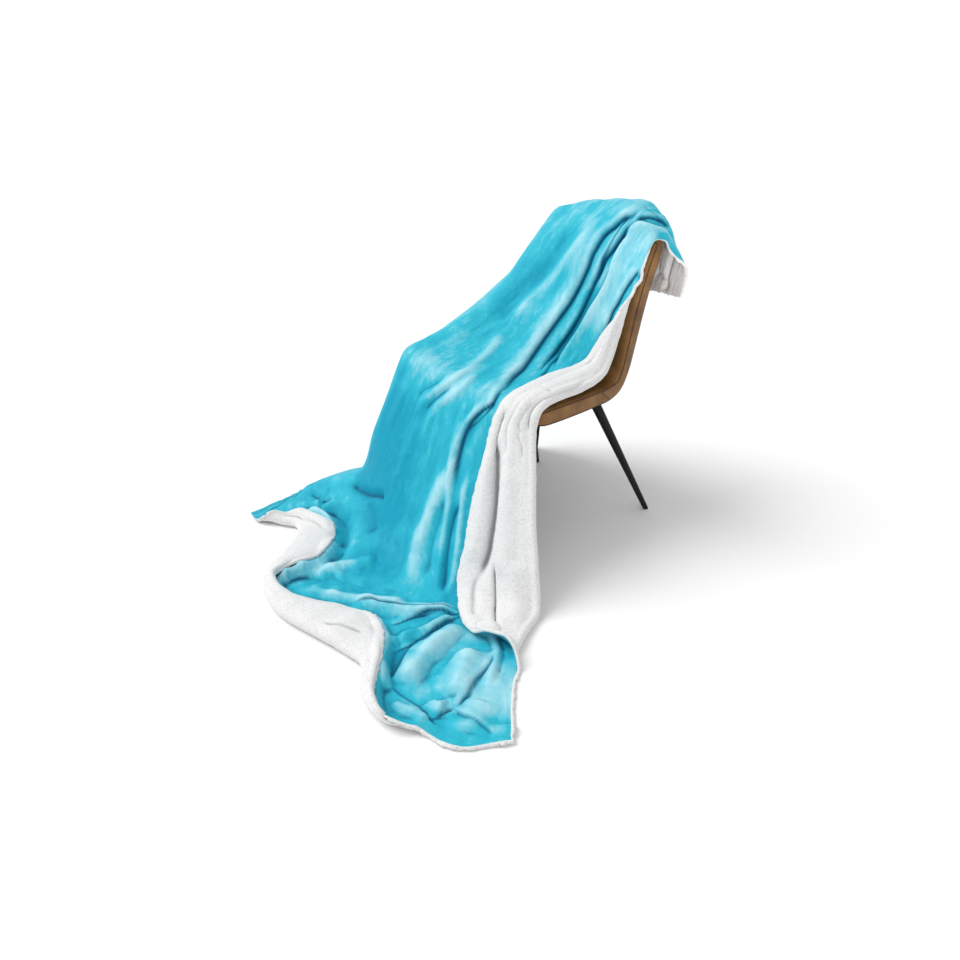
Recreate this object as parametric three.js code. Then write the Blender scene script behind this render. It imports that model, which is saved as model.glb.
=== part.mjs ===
// Two-layer fleece throw draped over a moulded dining chair.
// Millimetres, +Z up. The chair faces -Y and the sitter's left is +X.
import * as THREE from 'three';

// Length of the throw, laid flat
const throwLength = 2000;
const faceThickness = 3;
const backingThickness = 4.5;
const panelGap = 0.3;
const backingRim = 5;

// Rest height of the seam surface between the two panels
const floorRest = backingThickness + panelGap / 2;

// Cross-sections of the drape, from the back hem to the floor.
// along: distance from the back hem in the cloth.
// fold, middle, far, edge: places of the near fold line, the middle of the
// main width, the far shoulder and the far hem of the throw.
// lapel: width turned back over the near fold. turned: 0 flat to 1 fully over.
const sections = [
  { name: 'back hem', along: 0, fold: [240, 408, 680], middle: [40, 432, 664], far: [-205, 430, 655],
    edge: [-318, 408, 60], lapel: 25, turned: 0 },
  { name: 'back drop', along: 95, fold: [234, 408, 752], middle: [45, 440, 765], far: [-228, 432, 745],
    edge: [-335, 402, 30], lapel: 25, turned: 0 },
  { name: 'behind top', along: 180, fold: [206, 399, 806], middle: [68, 430, 866], far: [-240, 412, 822],
    edge: [-350, 388, 12], lapel: 25, turned: 0 },
  { name: 'top', along: 235, fold: [190, 368, 850], middle: [52, 390, 920], far: [-238, 380, 866],
    edge: [-362, 366, 6], lapel: 25, turned: 0 },
  { name: 'top front', along: 290, fold: [188, 312, 848], middle: [42, 332, 896], far: [-233, 339, 837],
    edge: [-374, 330, 6], lapel: 25, turned: 0.1 },
  { name: 'upper back', along: 400, fold: [200, 253, 762], middle: [-10, 260, 790], far: [-236, 278, 776],
    edge: [-390, 268, 6], lapel: 25, turned: 0.45 },
  { name: 'mid back', along: 500, fold: [203, 220, 676], middle: [-15, 210, 694], far: [-256, 206, 687],
    edge: [-404, 190, 6], lapel: 28, turned: 0.95 },
  { name: 'low back', along: 600, fold: [205, 185, 583], middle: [-20, 138, 610], far: [-264, 78, 618],
    edge: [-420, 92, 6], lapel: 55, turned: 1 },
  { name: 'foot of back', along: 690, fold: [208, 138, 500], middle: [-25, 85, 550], far: [-273, 22, 590],
    edge: [-434, 18, 6], lapel: 85, turned: 1 },
  { name: 'seat rear', along: 750, fold: [210, 90, 478], middle: [-28, 42, 524], far: [-283, -12, 572],
    edge: [-446, -22, 6], lapel: 105, turned: 1 },
  { name: 'seat middle', along: 850, fold: [211, 5, 471], middle: [-30, -25, 502], far: [-293, -54, 552],
    edge: [-462, -76, 6], lapel: 132, turned: 1 },
  { name: 'seat front', along: 960, fold: [212, -95, 470], middle: [-35, -115, 488],
    far: [-302, -113, 534],
    edge: [-486, -100, 6], lapel: 128, turned: 1 },
  { name: 'knee', along: 1030, fold: [214, -150, 452], middle: [-35, -187, 476], far: [-306, -175, 520],
    edge: [-506, -108, 6], lapel: 130, turned: 1 },
  { name: 'below knee', along: 1075, fold: [219, -172, 405], middle: [-35, -217, 438],
    far: [-310, -195, 490],
    edge: [-522, -114, 6], lapel: 142, turned: 1 },
  { name: 'upper drop', along: 1200, fold: [268, -220, 301], middle: [-40, -275, 330],
    far: [-318, -247, 377],
    edge: [-556, -124, 6], lapel: 158, turned: 1 },
  { name: 'middle drop', along: 1310, fold: [315, -266, 205], middle: [-45, -325, 225],
    far: [-330, -290, 278],
    edge: [-575, -135, 6], lapel: 175, turned: 1 },
  { name: 'lower drop', along: 1430, fold: [365, -313, 105], middle: [-40, -385, 120],
    far: [-368, -314, 142],
    edge: [-600, -150, 6], lapel: 206, turned: 1 },
  { name: 'foot', along: 1540, fold: [414, -364, 14], middle: [-5, -460, 30], far: [-462, -345, 92],
    edge: [-615, -205, 6], lapel: 236, turned: 1 },
  { name: 'inner floor', along: 1650, fold: [462, -450, 6], middle: [40, -570, 10], far: [-528, -376, 58],
    edge: [-628, -290, 6], lapel: 188, turned: 1 },
  { name: 'lapel end', along: 1705, fold: [500, -510, 6], middle: [52, -620, 6], far: [-552, -402, 46],
    edge: [-634, -335, 6], lapel: 80, turned: 0.8 },
  { name: 'outer floor', along: 1760, fold: [540, -577, 6], middle: [62, -665, 6], far: [-568, -430, 36],
    edge: [-632, -380, 6], lapel: 40, turned: 0 },
];

// The floor hem, from the near corner to the far corner.
// across: 0 at the near fold, 1 at the far shoulder, 2 at the far hem.
// x, y: outer line on the floor. turnUp: width of the margin turned up over it.
// roll: radius of that turn. over: 0 flat to 1 fully over.
const floorHem = [
  { name: 'near corner', across: 0.00, x: 694, y: -770, turnUp: 14, roll: 20, over: 0.0 },
  { name: 'near pucker', across: 0.09, x: 642, y: -834, turnUp: 20, roll: 18, over: 0.12 },
  { name: 'notch', across: 0.17, x: 555, y: -852, turnUp: 30, roll: 14, over: 0.3 },
  { name: 'toe', across: 0.25, x: 478, y: -908, turnUp: 72, roll: 16, over: 0.85 },
  { name: 'heel', across: 0.31, x: 392, y: -882, turnUp: 92, roll: 18, over: 1 },
  { name: 'inner bend', across: 0.38, x: 302, y: -810, turnUp: 118, roll: 20, over: 1 },
  { name: 'lower lobe', across: 0.48, x: 140, y: -815, turnUp: 158, roll: 20, over: 1 },
  { name: 'lobe side', across: 0.58, x: -30, y: -832, turnUp: 135, roll: 20, over: 1 },
  { name: 'lobe front', across: 0.66, x: -135, y: -804, turnUp: 112, roll: 19, over: 1 },
  { name: 'lobe end', across: 0.72, x: -196, y: -756, turnUp: 100, roll: 19, over: 1 },
  { name: 'bay side', across: 0.78, x: -252, y: -654, turnUp: 140, roll: 20, over: 1 },
  { name: 'bay', across: 0.84, x: -325, y: -568, turnUp: 165, roll: 19, over: 1 },
  { name: 'bay end', across: 0.89, x: -398, y: -536, turnUp: 150, roll: 18, over: 1 },
  { name: 'tip side', across: 0.95, x: -472, y: -566, turnUp: 95, roll: 13, over: 0.9 },
  { name: 'tip', across: 1.00, x: -538, y: -580, turnUp: 60, roll: 13, over: 0.6 },
  { name: 'far corner', across: 2.00, x: -578, y: -548, turnUp: 35, roll: 13, over: 0.2 },
];

// Folds of the drape, each a soft ridge or, with a height below 0, a trough.
// path: [across, along] of points down the fold, in the cloth's own lines.
// width: from its line to where it fades. height: how far it stands off the sheet.
const folds = [
  { name: 'bunch over top', width: 45, height: 24,
    path: [[0.30, 120], [0.34, 190], [0.36, 250], [0.40, 330]] },
  { name: 'second bunch', width: 26, height: 14,
    path: [[0.14, 110], [0.16, 190], [0.20, 260], [0.24, 330]] },
  { name: 'long crease', width: 15, height: -17,
    path: [[0.47, 240], [0.41, 330], [0.38, 430], [0.41, 560], [0.44, 710], [0.35, 950], [0.36, 1090], [0.36, 1280]] },
  { name: 'beside long crease', width: 24, height: 9,
    path: [[0.52, 300], [0.48, 430], [0.51, 590], [0.54, 740], [0.42, 980], [0.43, 1120], [0.40, 1260]] },
  { name: 'second crease', width: 13, height: -14,
    path: [[0.31, 290], [0.27, 380], [0.27, 450], [0.31, 550], [0.33, 680], [0.29, 810]] },
  { name: 'between creases', width: 12, height: 8,
    path: [[0.36, 280], [0.32, 400], [0.34, 520], [0.37, 680], [0.32, 850]] },
  { name: 'third crease', width: 12, height: -13,
    path: [[0.22, 300], [0.21, 400], [0.22, 490], [0.28, 620], [0.24, 790]] },
  { name: 'near crease', width: 12, height: -8,
    path: [[0.10, 300], [0.06, 420], [0.10, 510], [0.16, 600]] },
  { name: 'near ridge', width: 16, height: 8, path: [[0.13, 300], [0.13, 420], [0.16, 540], [0.20, 680]] },
  { name: 'broad far ridge', width: 34, height: 10,
    path: [[0.72, 290], [0.75, 420], [0.84, 560], [0.84, 800], [0.80, 1020]] },
  { name: 'far hollow', width: 26, height: -8,
    path: [[0.62, 290], [0.66, 420], [0.70, 560], [0.72, 800], [0.70, 980]] },
  { name: 'knee ridge', width: 15, height: 8,
    path: [[0.69, 730], [0.63, 900], [0.61, 1040], [0.69, 1120], [0.70, 1190]] },
  { name: 'inner knee ridge', width: 12, height: 7,
    path: [[0.46, 960], [0.54, 1050], [0.61, 1120], [0.60, 1220]] },
  { name: 'drop ridge', width: 26, height: 17,
    path: [[0.45, 1200], [0.44, 1300], [0.44, 1400], [0.45, 1500], [0.42, 1600]] },
  { name: 'drop furrow', width: 15, height: -9, path: [[0.42, 1320], [0.40, 1440], [0.38, 1570]] },
  { name: 'narrow drop ridge', width: 11, height: 9,
    path: [[0.41, 1200], [0.38, 1300], [0.35, 1420], [0.34, 1570]] },
  { name: 'deep drop furrow', width: 13, height: -15,
    path: [[0.34, 1270], [0.32, 1350], [0.31, 1440], [0.30, 1570]] },
  { name: 'lapel side ridge', width: 11, height: 8,
    path: [[0.30, 1270], [0.29, 1350], [0.28, 1440], [0.27, 1560]] },
  { name: 'lapel channel', width: 18, height: -16,
    path: [[0.16, 1020], [0.18, 1150], [0.17, 1300], [0.15, 1430], [0.13, 1560]] },
  { name: 'lapel swell', width: 26, height: 9,
    path: [[0.08, 1040], [0.09, 1200], [0.08, 1350], [0.07, 1500]] },
  { name: 'first floor ridge', width: 26, height: 20,
    path: [[0.55, 1790], [0.47, 1710], [0.40, 1670], [0.30, 1620], [0.22, 1590]] },
  { name: 'second floor ridge', width: 16, height: 14,
    path: [[0.34, 1830], [0.30, 1740], [0.25, 1650], [0.21, 1610]] },
  { name: 'third floor ridge', width: 26, height: 26,
    path: [[0.18, 1640], [0.19, 1740], [0.22, 1830], [0.25, 1900]] },
  { name: 'pillow', width: 30, height: 22, path: [[0.12, 1740], [0.11, 1800], [0.11, 1880]] },
  { name: 'hooked ridge', width: 15, height: 16,
    path: [[0.11, 1690], [0.07, 1700], [0.04, 1740], [0.03, 1830]] },
  { name: 'corner swell', width: 34, height: 14, path: [[0.03, 1890], [0.06, 1950], [0.08, 1985]] },
  { name: 'notch swell', width: 20, height: 20, path: [[0.13, 1900], [0.15, 1950], [0.17, 1985]] },
  { name: 'rim of heel', width: 18, height: 14, path: [[0.40, 1850], [0.33, 1880], [0.27, 1920]] },
  { name: 'lobe ridge', width: 24, height: 14, path: [[0.70, 1880], [0.66, 1760], [0.61, 1650]] },
  { name: 'low lobe ridge', width: 22, height: 13, path: [[0.64, 1900], [0.56, 1760], [0.46, 1640]] },
  { name: 'bay ridge', width: 22, height: 12,
    path: [[0.90, 1735], [0.85, 1720], [0.79, 1725], [0.74, 1760]] },
  { name: 'tip ridge', width: 22, height: 14, path: [[0.95, 1860], [0.90, 1740], [0.84, 1620]] },
  { name: 'behind bay', width: 32, height: -22,
    path: [[0.95, 1705], [0.90, 1680], [0.84, 1675], [0.78, 1700], [0.72, 1760]] },
  { name: 'far side fold by the back', width: 55, height: 26,
    path: [[1.06, 150], [1.30, 130], [1.60, 110], [1.98, 90]] },
  { name: 'far side hollow by the back', width: 50, height: -24,
    path: [[1.08, 270], [1.35, 260], [1.65, 245], [1.98, 235]] },
  { name: 'far side fold', width: 52, height: 24, path: [[1.10, 400], [1.35, 395], [1.65, 390], [1.98, 385]] },
  { name: 'far side hollow', width: 60, height: -26, path: [[1.10, 560], [1.35, 545], [1.65, 530], [1.98, 520]] },
  { name: 'far side fold by the seat', width: 55, height: 24,
    path: [[1.12, 740], [1.35, 720], [1.65, 700], [1.98, 690]] },
  { name: 'far side hollow by the knee', width: 45, height: -20,
    path: [[1.12, 930], [1.35, 940], [1.65, 960], [1.98, 980]] },
  { name: 'back drop fold', width: 42, height: 16, path: [[0.72, 0], [0.73, 60], [0.75, 120], [0.77, 190]] },
  { name: 'back drop hollow', width: 34, height: -13, path: [[0.55, 0], [0.56, 60], [0.57, 120], [0.58, 180]] },
  { name: 'near back drop fold', width: 30, height: 12, path: [[0.30, 0], [0.31, 60], [0.33, 120], [0.35, 180]] },
  { name: 'far foot furrow', width: 20, height: -14, path: [[0.92, 1510], [0.83, 1480], [0.74, 1450]] },
];

// Grid of the cloth: how many strips go to each part of it
const lapelStrips = 5;
const bendStrips = 4;
const mainColumns = [0, 0.05, 0.10, 0.14, 0.18, 0.22, 0.26, 0.30, 0.34, 0.38, 0.42, 0.46, 0.52, 0.58, 0.64, 0.70,
  0.76, 0.82, 0.88, 0.94];
const dropStrips = 5;
const hemBendRows = 4;
const hemOverRows = 3;
const lapelRoll = 7;
const shoulderRounding = 24;
const foldSteps = 14;
const rowAlong = [0, 60, 120, 165, 195, 225, 255, 290, 335, 390, 450, 510, 570, 630, 690, 745, 805, 870,
  935, 985, 1020, 1050, 1085, 1135, 1195, 1260, 1325, 1390, 1450, 1505, 1555, 1605, 1650, 1690, 1730,
  1775, 1825, 1875, 1920, 1962, 2000];

// Slope at each row of a table, for a smooth curve through its values
function rowSlope(rows, index, at, value) {
  const before = Math.max(index - 1, 0);
  const after = Math.min(index + 1, rows.length - 1);
  return (value(rows[after]) - value(rows[before])) / (rows[after][at] - rows[before][at]);
}

// Smooth value of one column at a place between the rows of a table
function smoothColumn(rows, at, place, value) {
  const last = rows.length - 1;
  const clamped = Math.min(Math.max(place, rows[0][at]), rows[last][at]);
  let index = 0;
  while (index < last - 1 && rows[index + 1][at] < clamped) index += 1;
  const span = rows[index + 1][at] - rows[index][at];
  const t = (clamped - rows[index][at]) / span;
  const startSlope = rowSlope(rows, index, at, value) * span;
  const endSlope = rowSlope(rows, index + 1, at, value) * span;
  const t2 = t * t;
  const t3 = t2 * t;
  return value(rows[index]) * (2 * t3 - 3 * t2 + 1) + startSlope * (t3 - 2 * t2 + t)
    + value(rows[index + 1]) * (3 * t2 - 2 * t3) + endSlope * (t3 - t2);
}

// Place of one named point of the sections, at a distance along the cloth
function sectionPoint(name, along) {
  return new THREE.Vector3(...[0, 1, 2].map(
    (axis) => smoothColumn(sections, 'along', along, (row) => row[name][axis])));
}

// Unrounded section: a parabola through fold, middle and far, then a line to the edge
function rawSection(ends, across) {
  const point = new THREE.Vector3();
  if (across > 1) return point.lerpVectors(ends.far, ends.edge, Math.min(across, 2) - 1);
  point.addScaledVector(ends.fold, (1 - across) * (1 - 2 * across));
  point.addScaledVector(ends.middle, 4 * across * (1 - across));
  return point.addScaledVector(ends.far, across * (2 * across - 1));
}

// Section rounded at the far shoulder by a running mean
function sectionAt(along, across) {
  const ends = {
    fold: sectionPoint('fold', along),
    middle: sectionPoint('middle', along),
    far: sectionPoint('far', along),
    edge: sectionPoint('edge', along),
  };
  const mainLength = ends.fold.distanceTo(ends.far);
  const dropLength = ends.far.distanceTo(ends.edge);
  const point = new THREE.Vector3();
  const reaches = [-1, -0.5, 0, 0.5, 1];
  const weights = [0.125, 0.25, 0.25, 0.25, 0.125];
  const reach = shoulderRounding * Math.min(1, across / 0.3, Math.abs(2 - across) / 0.3);
  reaches.forEach((step, index) => {
    const shift = step * reach;
    let place = across + shift / (across > 1 ? dropLength : mainLength);
    if (across <= 1 && place > 1) place = 1 + (shift - (1 - across) * mainLength) / dropLength;
    if (across > 1 && place < 1) place = 1 + (shift + (across - 1) * dropLength) / mainLength;
    point.addScaledVector(rawSection(ends, place), weights[index]);
  });
  return point;
}

// Outer line of the floor hem
function floorHemPoint(across) {
  const x = smoothColumn(floorHem, 'across', across, (row) => row.x);
  const y = smoothColumn(floorHem, 'across', across, (row) => row.y);
  return new THREE.Vector3(x, y, floorRest);
}

// Smooth step from 0 to 1 between two places
function rise(place, start, end) {
  const t = Math.min(Math.max((place - start) / (end - start), 0), 1);
  return t * t * (3 - 2 * t);
}

// Main sheet without its folds
function baseSheet(across, along) {
  const lastRow = sections[sections.length - 1].along;
  if (along <= lastRow) return sectionAt(along, across);
  const start = sectionAt(lastRow, across);
  const before = sectionAt(lastRow - 40, across);
  const end = floorHemPoint(across);
  const span = throwLength - lastRow;
  const t = (along - lastRow) / span;
  const straight = end.clone().sub(start);
  const slope = start.clone().sub(before).normalize().multiplyScalar(straight.length());
  const t2 = t * t;
  const t3 = t2 * t;
  return start.clone().multiplyScalar(2 * t3 - 3 * t2 + 1)
    .addScaledVector(slope, t3 - 2 * t2 + t)
    .addScaledVector(end, 3 * t2 - 2 * t3)
    .addScaledVector(straight, t3 - t2);
}

// Points in space down the middle of each fold, before any fold stands up
const foldLines = folds.map((fold) => {
  const curve = new THREE.CatmullRomCurve3(fold.path.map(([across, along]) => baseSheet(across, along)));
  return { ...fold, points: curve.getSpacedPoints(foldSteps) };
});

// Height that the folds add at a place of the unfolded sheet:
// the sum of height * exp(-(distance / width)^2), faded out at both ends
function foldHeight(place) {
  let height = 0;
  const nearest = new THREE.Vector3();
  const segment = new THREE.Line3();
  for (const fold of foldLines) {
    let distance = Infinity;
    let share = 0;
    for (let i = 0; i < foldSteps; i += 1) {
      segment.set(fold.points[i], fold.points[i + 1]);
      const t = segment.closestPointToPointParameter(place, true);
      segment.at(t, nearest);
      const away = nearest.distanceTo(place);
      if (away < distance) {
        distance = away;
        share = (i + t) / foldSteps;
      }
    }
    const fade = rise(share, 0, 0.2) * (1 - rise(share, 0.8, 1));
    height += fold.height * fade * Math.exp(-((distance / fold.width) ** 2));
  }
  return height;
}

// Outward direction of the main sheet, on its face side
function baseNormal(across, along) {
  const step = 4;
  const tiny = 0.01;
  const low = Math.max(along - step, 0);
  const high = Math.min(along + step, throwLength);
  const left = Math.max(across - tiny, 0);
  const right = Math.min(across + tiny, 2);
  const alongRun = baseSheet(across, high).sub(baseSheet(across, low));
  const acrossRun = baseSheet(right, along).sub(baseSheet(left, along));
  return acrossRun.cross(alongRun).normalize();
}

// Main sheet with its folds, kept on the floor
function mainSheet(across, along) {
  const point = baseSheet(across, along);
  const normal = baseNormal(across, along);
  point.addScaledVector(normal, foldHeight(point));
  point.z = Math.max(point.z, floorRest);
  return { point, normal };
}

// Length of the main width at a place along the cloth
function mainWidth(along) {
  return sectionPoint('fold', along).distanceTo(sectionPoint('middle', along))
    + sectionPoint('middle', along).distanceTo(sectionPoint('far', along));
}

// Point of the near lapel, at a distance past the fold line
function lapelPoint(past, along) {
  const turned = smoothColumn(sections, 'along', along, (row) => row.turned);
  const share = Math.min(Math.max(turned, 0), 1);
  const arc = Math.PI * lapelRoll;
  const start = mainSheet(0, along);
  const inner = mainSheet(0.03, along);
  const outward = start.point.clone().sub(inner.point).normalize();
  const up = start.normal;
  const angle = share * Math.PI * Math.min(past / arc, 1);
  const radius = share > 0.01 ? lapelRoll / share : 0;
  const point = start.point.clone();
  if (share > 0.01) {
    point.addScaledVector(outward, radius * Math.sin(angle));
    point.addScaledVector(up, radius * (1 - Math.cos(angle)));
  } else {
    point.addScaledVector(outward, Math.min(past, arc));
  }
  const beyond = Math.max(past - arc, 0);
  if (beyond === 0) return point;
  const straight = point.clone()
    .addScaledVector(outward, beyond * Math.cos(share * Math.PI))
    .addScaledVector(up, beyond * Math.sin(share * Math.PI));
  const over = mainSheet(beyond / mainWidth(along), along);
  const laid = over.point.addScaledVector(over.normal, 2 * lapelRoll);
  return straight.lerp(laid, rise(share, 0.85, 1));
}

// Point at a signed distance across: below 0 is the lapel, above 0 the main share
function acrossPoint(column, along) {
  if (column.past > 0) {
    const width = smoothColumn(sections, 'along', along, (row) => row.lapel);
    const arc = Math.PI * lapelRoll;
    const past = column.past <= 1 ? column.past * arc : arc + (column.past - 1) * (width - arc);
    const point = lapelPoint(past, along);
    point.z = Math.max(point.z, floorRest);
    return point;
  }
  return mainSheet(column.across, along).point;
}

// Columns of the cloth's grid, from the near hem to the far hem
function gridColumns() {
  const columns = [];
  for (let i = 0; i < lapelStrips; i += 1) columns.push({ past: 2 - i / lapelStrips, across: 0 });
  for (let i = 0; i < bendStrips; i += 1) columns.push({ past: 1 - i / bendStrips, across: 0 });
  for (const across of mainColumns) columns.push({ past: 0, across });
  for (let i = 0; i <= dropStrips; i += 1) columns.push({ past: 0, across: 1 + i / dropStrips });
  return columns;
}

// Place along the cloth at a distance inward from the floor hem
function alongFromHem(across, inward) {
  const lastRow = sections[sections.length - 1].along;
  const reach = sectionAt(lastRow, across).distanceTo(floorHemPoint(across));
  const share = inward / reach;
  return share < 1 ? throwLength - share * (throwLength - lastRow) : lastRow - (inward - reach);
}

// Rows of points over the turned-up floor hem of one column
function hemTurn(column) {
  const across = column.across;
  const turnUp = smoothColumn(floorHem, 'across', across, (row) => row.turnUp);
  const roll = smoothColumn(floorHem, 'across', across, (row) => row.roll);
  const over = Math.min(Math.max(smoothColumn(floorHem, 'across', across, (row) => row.over), 0), 1);
  const start = acrossPoint(column, throwLength);
  const run = floorHemPoint(Math.min(across + 0.04, 2)).sub(floorHemPoint(Math.max(across - 0.04, 0)));
  const outward = new THREE.Vector3(-run.y, run.x, 0).normalize();
  const up = new THREE.Vector3(0, 0, 1);
  const arc = Math.min(Math.PI * roll, turnUp * 0.75);
  const points = [];
  for (let i = 1; i <= hemBendRows + hemOverRows; i += 1) {
    const inBend = Math.min(i / hemBendRows, 1);
    const angle = over * (arc / roll) * inBend;
    const point = start.clone();
    if (over > 0.01) {
      point.addScaledVector(outward, (roll / over) * Math.sin(angle));
      point.addScaledVector(up, (roll / over) * (1 - Math.cos(angle)));
    } else {
      point.addScaledVector(outward, arc * inBend);
    }
    const beyond = (turnUp - arc) * Math.max(i - hemBendRows, 0) / hemOverRows;
    point.addScaledVector(outward, beyond * Math.cos(angle));
    point.addScaledVector(up, beyond * Math.sin(angle));
    const inward = Math.max(start.clone().sub(point).dot(outward), 0);
    point.z += mainSheet(across, alongFromHem(across, inward)).point.z - floorRest;
    points.push(point);
  }
  return points;
}

// Grid of points of the whole throw, one list for each row
function throwGrid() {
  const columns = gridColumns();
  const rows = rowAlong.map((along) => columns.map((column) => acrossPoint(column, along)));
  const turns = columns.map(hemTurn);
  for (let i = 0; i < hemBendRows + hemOverRows; i += 1) rows.push(turns.map((turn) => turn[i]));
  return rows;
}

// Direction off the face side at each point of the grid
function gridNormals(rows) {
  const lastRow = rows.length - 1;
  const lastColumn = rows[0].length - 1;
  return rows.map((row, j) => row.map((point, i) => {
    const alongRun = rows[Math.min(j + 1, lastRow)][i].clone().sub(rows[Math.max(j - 1, 0)][i]);
    const acrossRun = rows[j][Math.min(i + 1, lastColumn)].clone().sub(rows[j][Math.max(i - 1, 0)]);
    return acrossRun.cross(alongRun).normalize();
  }));
}

// Grid with one more ring of points round it, a reach further out along the sheet
function rimmedGrid(rows, reach) {
  const beyond = (point, inner) => {
    const outer = point.clone().addScaledVector(point.clone().sub(inner).normalize(), reach);
    outer.z = Math.max(outer.z, floorRest);
    return outer;
  };
  const wide = rows.map((row) => {
    const last = row.length - 1;
    return [beyond(row[0], row[1]), ...row, beyond(row[last], row[last - 1])];
  });
  const last = wide.length - 1;
  const first = wide[0].map((point, i) => beyond(point, wide[1][i]));
  const end = wide[last].map((point, i) => beyond(point, wide[last - 1][i]));
  return [first, ...wide, end];
}

// Normals for a rimmed grid: its ring repeats the ones inside it
function rimmedNormals(normals) {
  const wide = normals.map((row) => [row[0], ...row, row[row.length - 1]]);
  return [wide[0], ...wide, wide[wide.length - 1]];
}

// Closed solid between two offsets of a grid of points
function panelGeometry(rows, normals, bottomOffset, topOffset) {
  const rowCount = rows.length;
  const columnCount = rows[0].length;
  const positions = [];
  for (const offset of [topOffset, bottomOffset]) {
    rows.forEach((row, j) => row.forEach((point, i) => {
      const placed = point.clone().addScaledVector(normals[j][i], offset);
      positions.push(placed.x, placed.y, Math.max(placed.z, 0));
    }));
  }
  const top = (j, i) => j * columnCount + i;
  const bottom = (j, i) => rowCount * columnCount + j * columnCount + i;
  const faces = [];
  for (let j = 0; j < rowCount - 1; j += 1) {
    for (let i = 0; i < columnCount - 1; i += 1) {
      faces.push(top(j, i), top(j + 1, i + 1), top(j + 1, i));
      faces.push(top(j, i), top(j, i + 1), top(j + 1, i + 1));
      faces.push(bottom(j, i), bottom(j + 1, i), bottom(j + 1, i + 1));
      faces.push(bottom(j, i), bottom(j + 1, i + 1), bottom(j, i + 1));
    }
  }
  for (let j = 0; j < rowCount - 1; j += 1) {
    const last = columnCount - 1;
    faces.push(top(j, 0), bottom(j + 1, 0), bottom(j, 0));
    faces.push(top(j, 0), top(j + 1, 0), bottom(j + 1, 0));
    faces.push(top(j, last), bottom(j, last), bottom(j + 1, last));
    faces.push(top(j, last), bottom(j + 1, last), top(j + 1, last));
  }
  for (let i = 0; i < columnCount - 1; i += 1) {
    const last = rowCount - 1;
    faces.push(top(0, i), bottom(0, i), bottom(0, i + 1));
    faces.push(top(0, i), bottom(0, i + 1), top(0, i + 1));
    faces.push(top(last, i), bottom(last, i + 1), bottom(last, i));
    faces.push(top(last, i), top(last, i + 1), bottom(last, i + 1));
  }
  const geometry = new THREE.BufferGeometry();
  geometry.setAttribute('position', new THREE.Float32BufferAttribute(positions, 3));
  geometry.setIndex(faces);
  geometry.computeVertexNormals();
  return geometry;
}

// Middle line of the upholstered shell, from the seat front up to the top of the back
const shellPath = [
  { name: 'seat front', y: -153, z: 426, half: 186, thick: 26 },
  { name: 'front edge', y: -138, z: 427, half: 206, thick: 40 },
  { name: 'front seat', y: -105, z: 429, half: 218, thick: 50 },
  { name: 'mid seat', y: 0, z: 429, half: 221, thick: 51 },
  { name: 'rear seat', y: 85, z: 430, half: 221, thick: 50 },
  { name: 'bend start', y: 140, z: 433, half: 221, thick: 50 },
  { name: 'bend', y: 178, z: 448, half: 220, thick: 50 },
  { name: 'bend end', y: 200, z: 478, half: 219, thick: 50 },
  { name: 'low back', y: 215, z: 515, half: 218, thick: 52 },
  { name: 'lumbar', y: 240, z: 595, half: 216, thick: 55 },
  { name: 'mid back', y: 264, z: 665, half: 213, thick: 55 },
  { name: 'upper back', y: 289, z: 730, half: 208, thick: 50 },
  { name: 'shoulder of back', y: 311, z: 785, half: 200, thick: 42 },
  { name: 'top of back', y: 324, z: 816, half: 184, thick: 22 },
];
const shellSteps = 30;
const shellSides = 24;
const shellSquareness = 9;

// Rounded-box section of the shell, swept along its middle line
function shellGeometry() {
  const rows = shellPath.map((row, index) => ({ ...row, index }));
  const value = (name, place) => smoothColumn(rows, 'index', place, (row) => row[name]);
  const positions = [];
  const lastPlace = rows.length - 1;
  for (let step = 0; step <= shellSteps; step += 1) {
    const place = lastPlace * step / shellSteps;
    const ahead = Math.min(place + 0.05, lastPlace);
    const behind = Math.max(place - 0.05, 0);
    const run = new THREE.Vector2(
      value('y', ahead) - value('y', behind), value('z', ahead) - value('z', behind)).normalize();
    const half = value('half', place);
    const thick = value('thick', place) / 2;
    for (let side = 0; side < shellSides; side += 1) {
      const angle = 2 * Math.PI * (side + 0.5) / shellSides;
      const c = Math.cos(angle);
      const s = Math.sin(angle);
      const size = (Math.abs(c) ** shellSquareness + Math.abs(s) ** shellSquareness) ** (-1 / shellSquareness);
      const wide = half * c * size;
      const high = thick * s * size;
      positions.push(wide, value('y', place) - run.y * high, value('z', place) + run.x * high);
    }
  }
  const startCentre = positions.length / 3;
  positions.push(0, rows[0].y, rows[0].z);
  positions.push(0, rows[lastPlace].y, rows[lastPlace].z);
  const faces = [];
  for (let step = 0; step < shellSteps; step += 1) {
    for (let side = 0; side < shellSides; side += 1) {
      const next = (side + 1) % shellSides;
      const a = step * shellSides + side;
      const b = step * shellSides + next;
      const c = (step + 1) * shellSides + next;
      const d = (step + 1) * shellSides + side;
      faces.push(a, c, b, a, d, c);
    }
  }
  for (let side = 0; side < shellSides; side += 1) {
    const next = (side + 1) % shellSides;
    faces.push(startCentre, side, next);
    faces.push(startCentre + 1, shellSteps * shellSides + next, shellSteps * shellSides + side);
  }
  const geometry = new THREE.BufferGeometry();
  geometry.setAttribute('position', new THREE.Float32BufferAttribute(positions, 3));
  geometry.setIndex(faces);
  geometry.computeVertexNormals();
  return geometry;
}

// Steel plate under the seat that the legs are welded to
const plate = { wide: 330, deep: 300, thick: 5, top: 402, y: 34 };

function plateGeometry() {
  const geometry = new THREE.BoxGeometry(plate.wide, plate.deep, plate.thick);
  geometry.translate(0, plate.y, plate.top - plate.thick / 2);
  return geometry;
}

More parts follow.
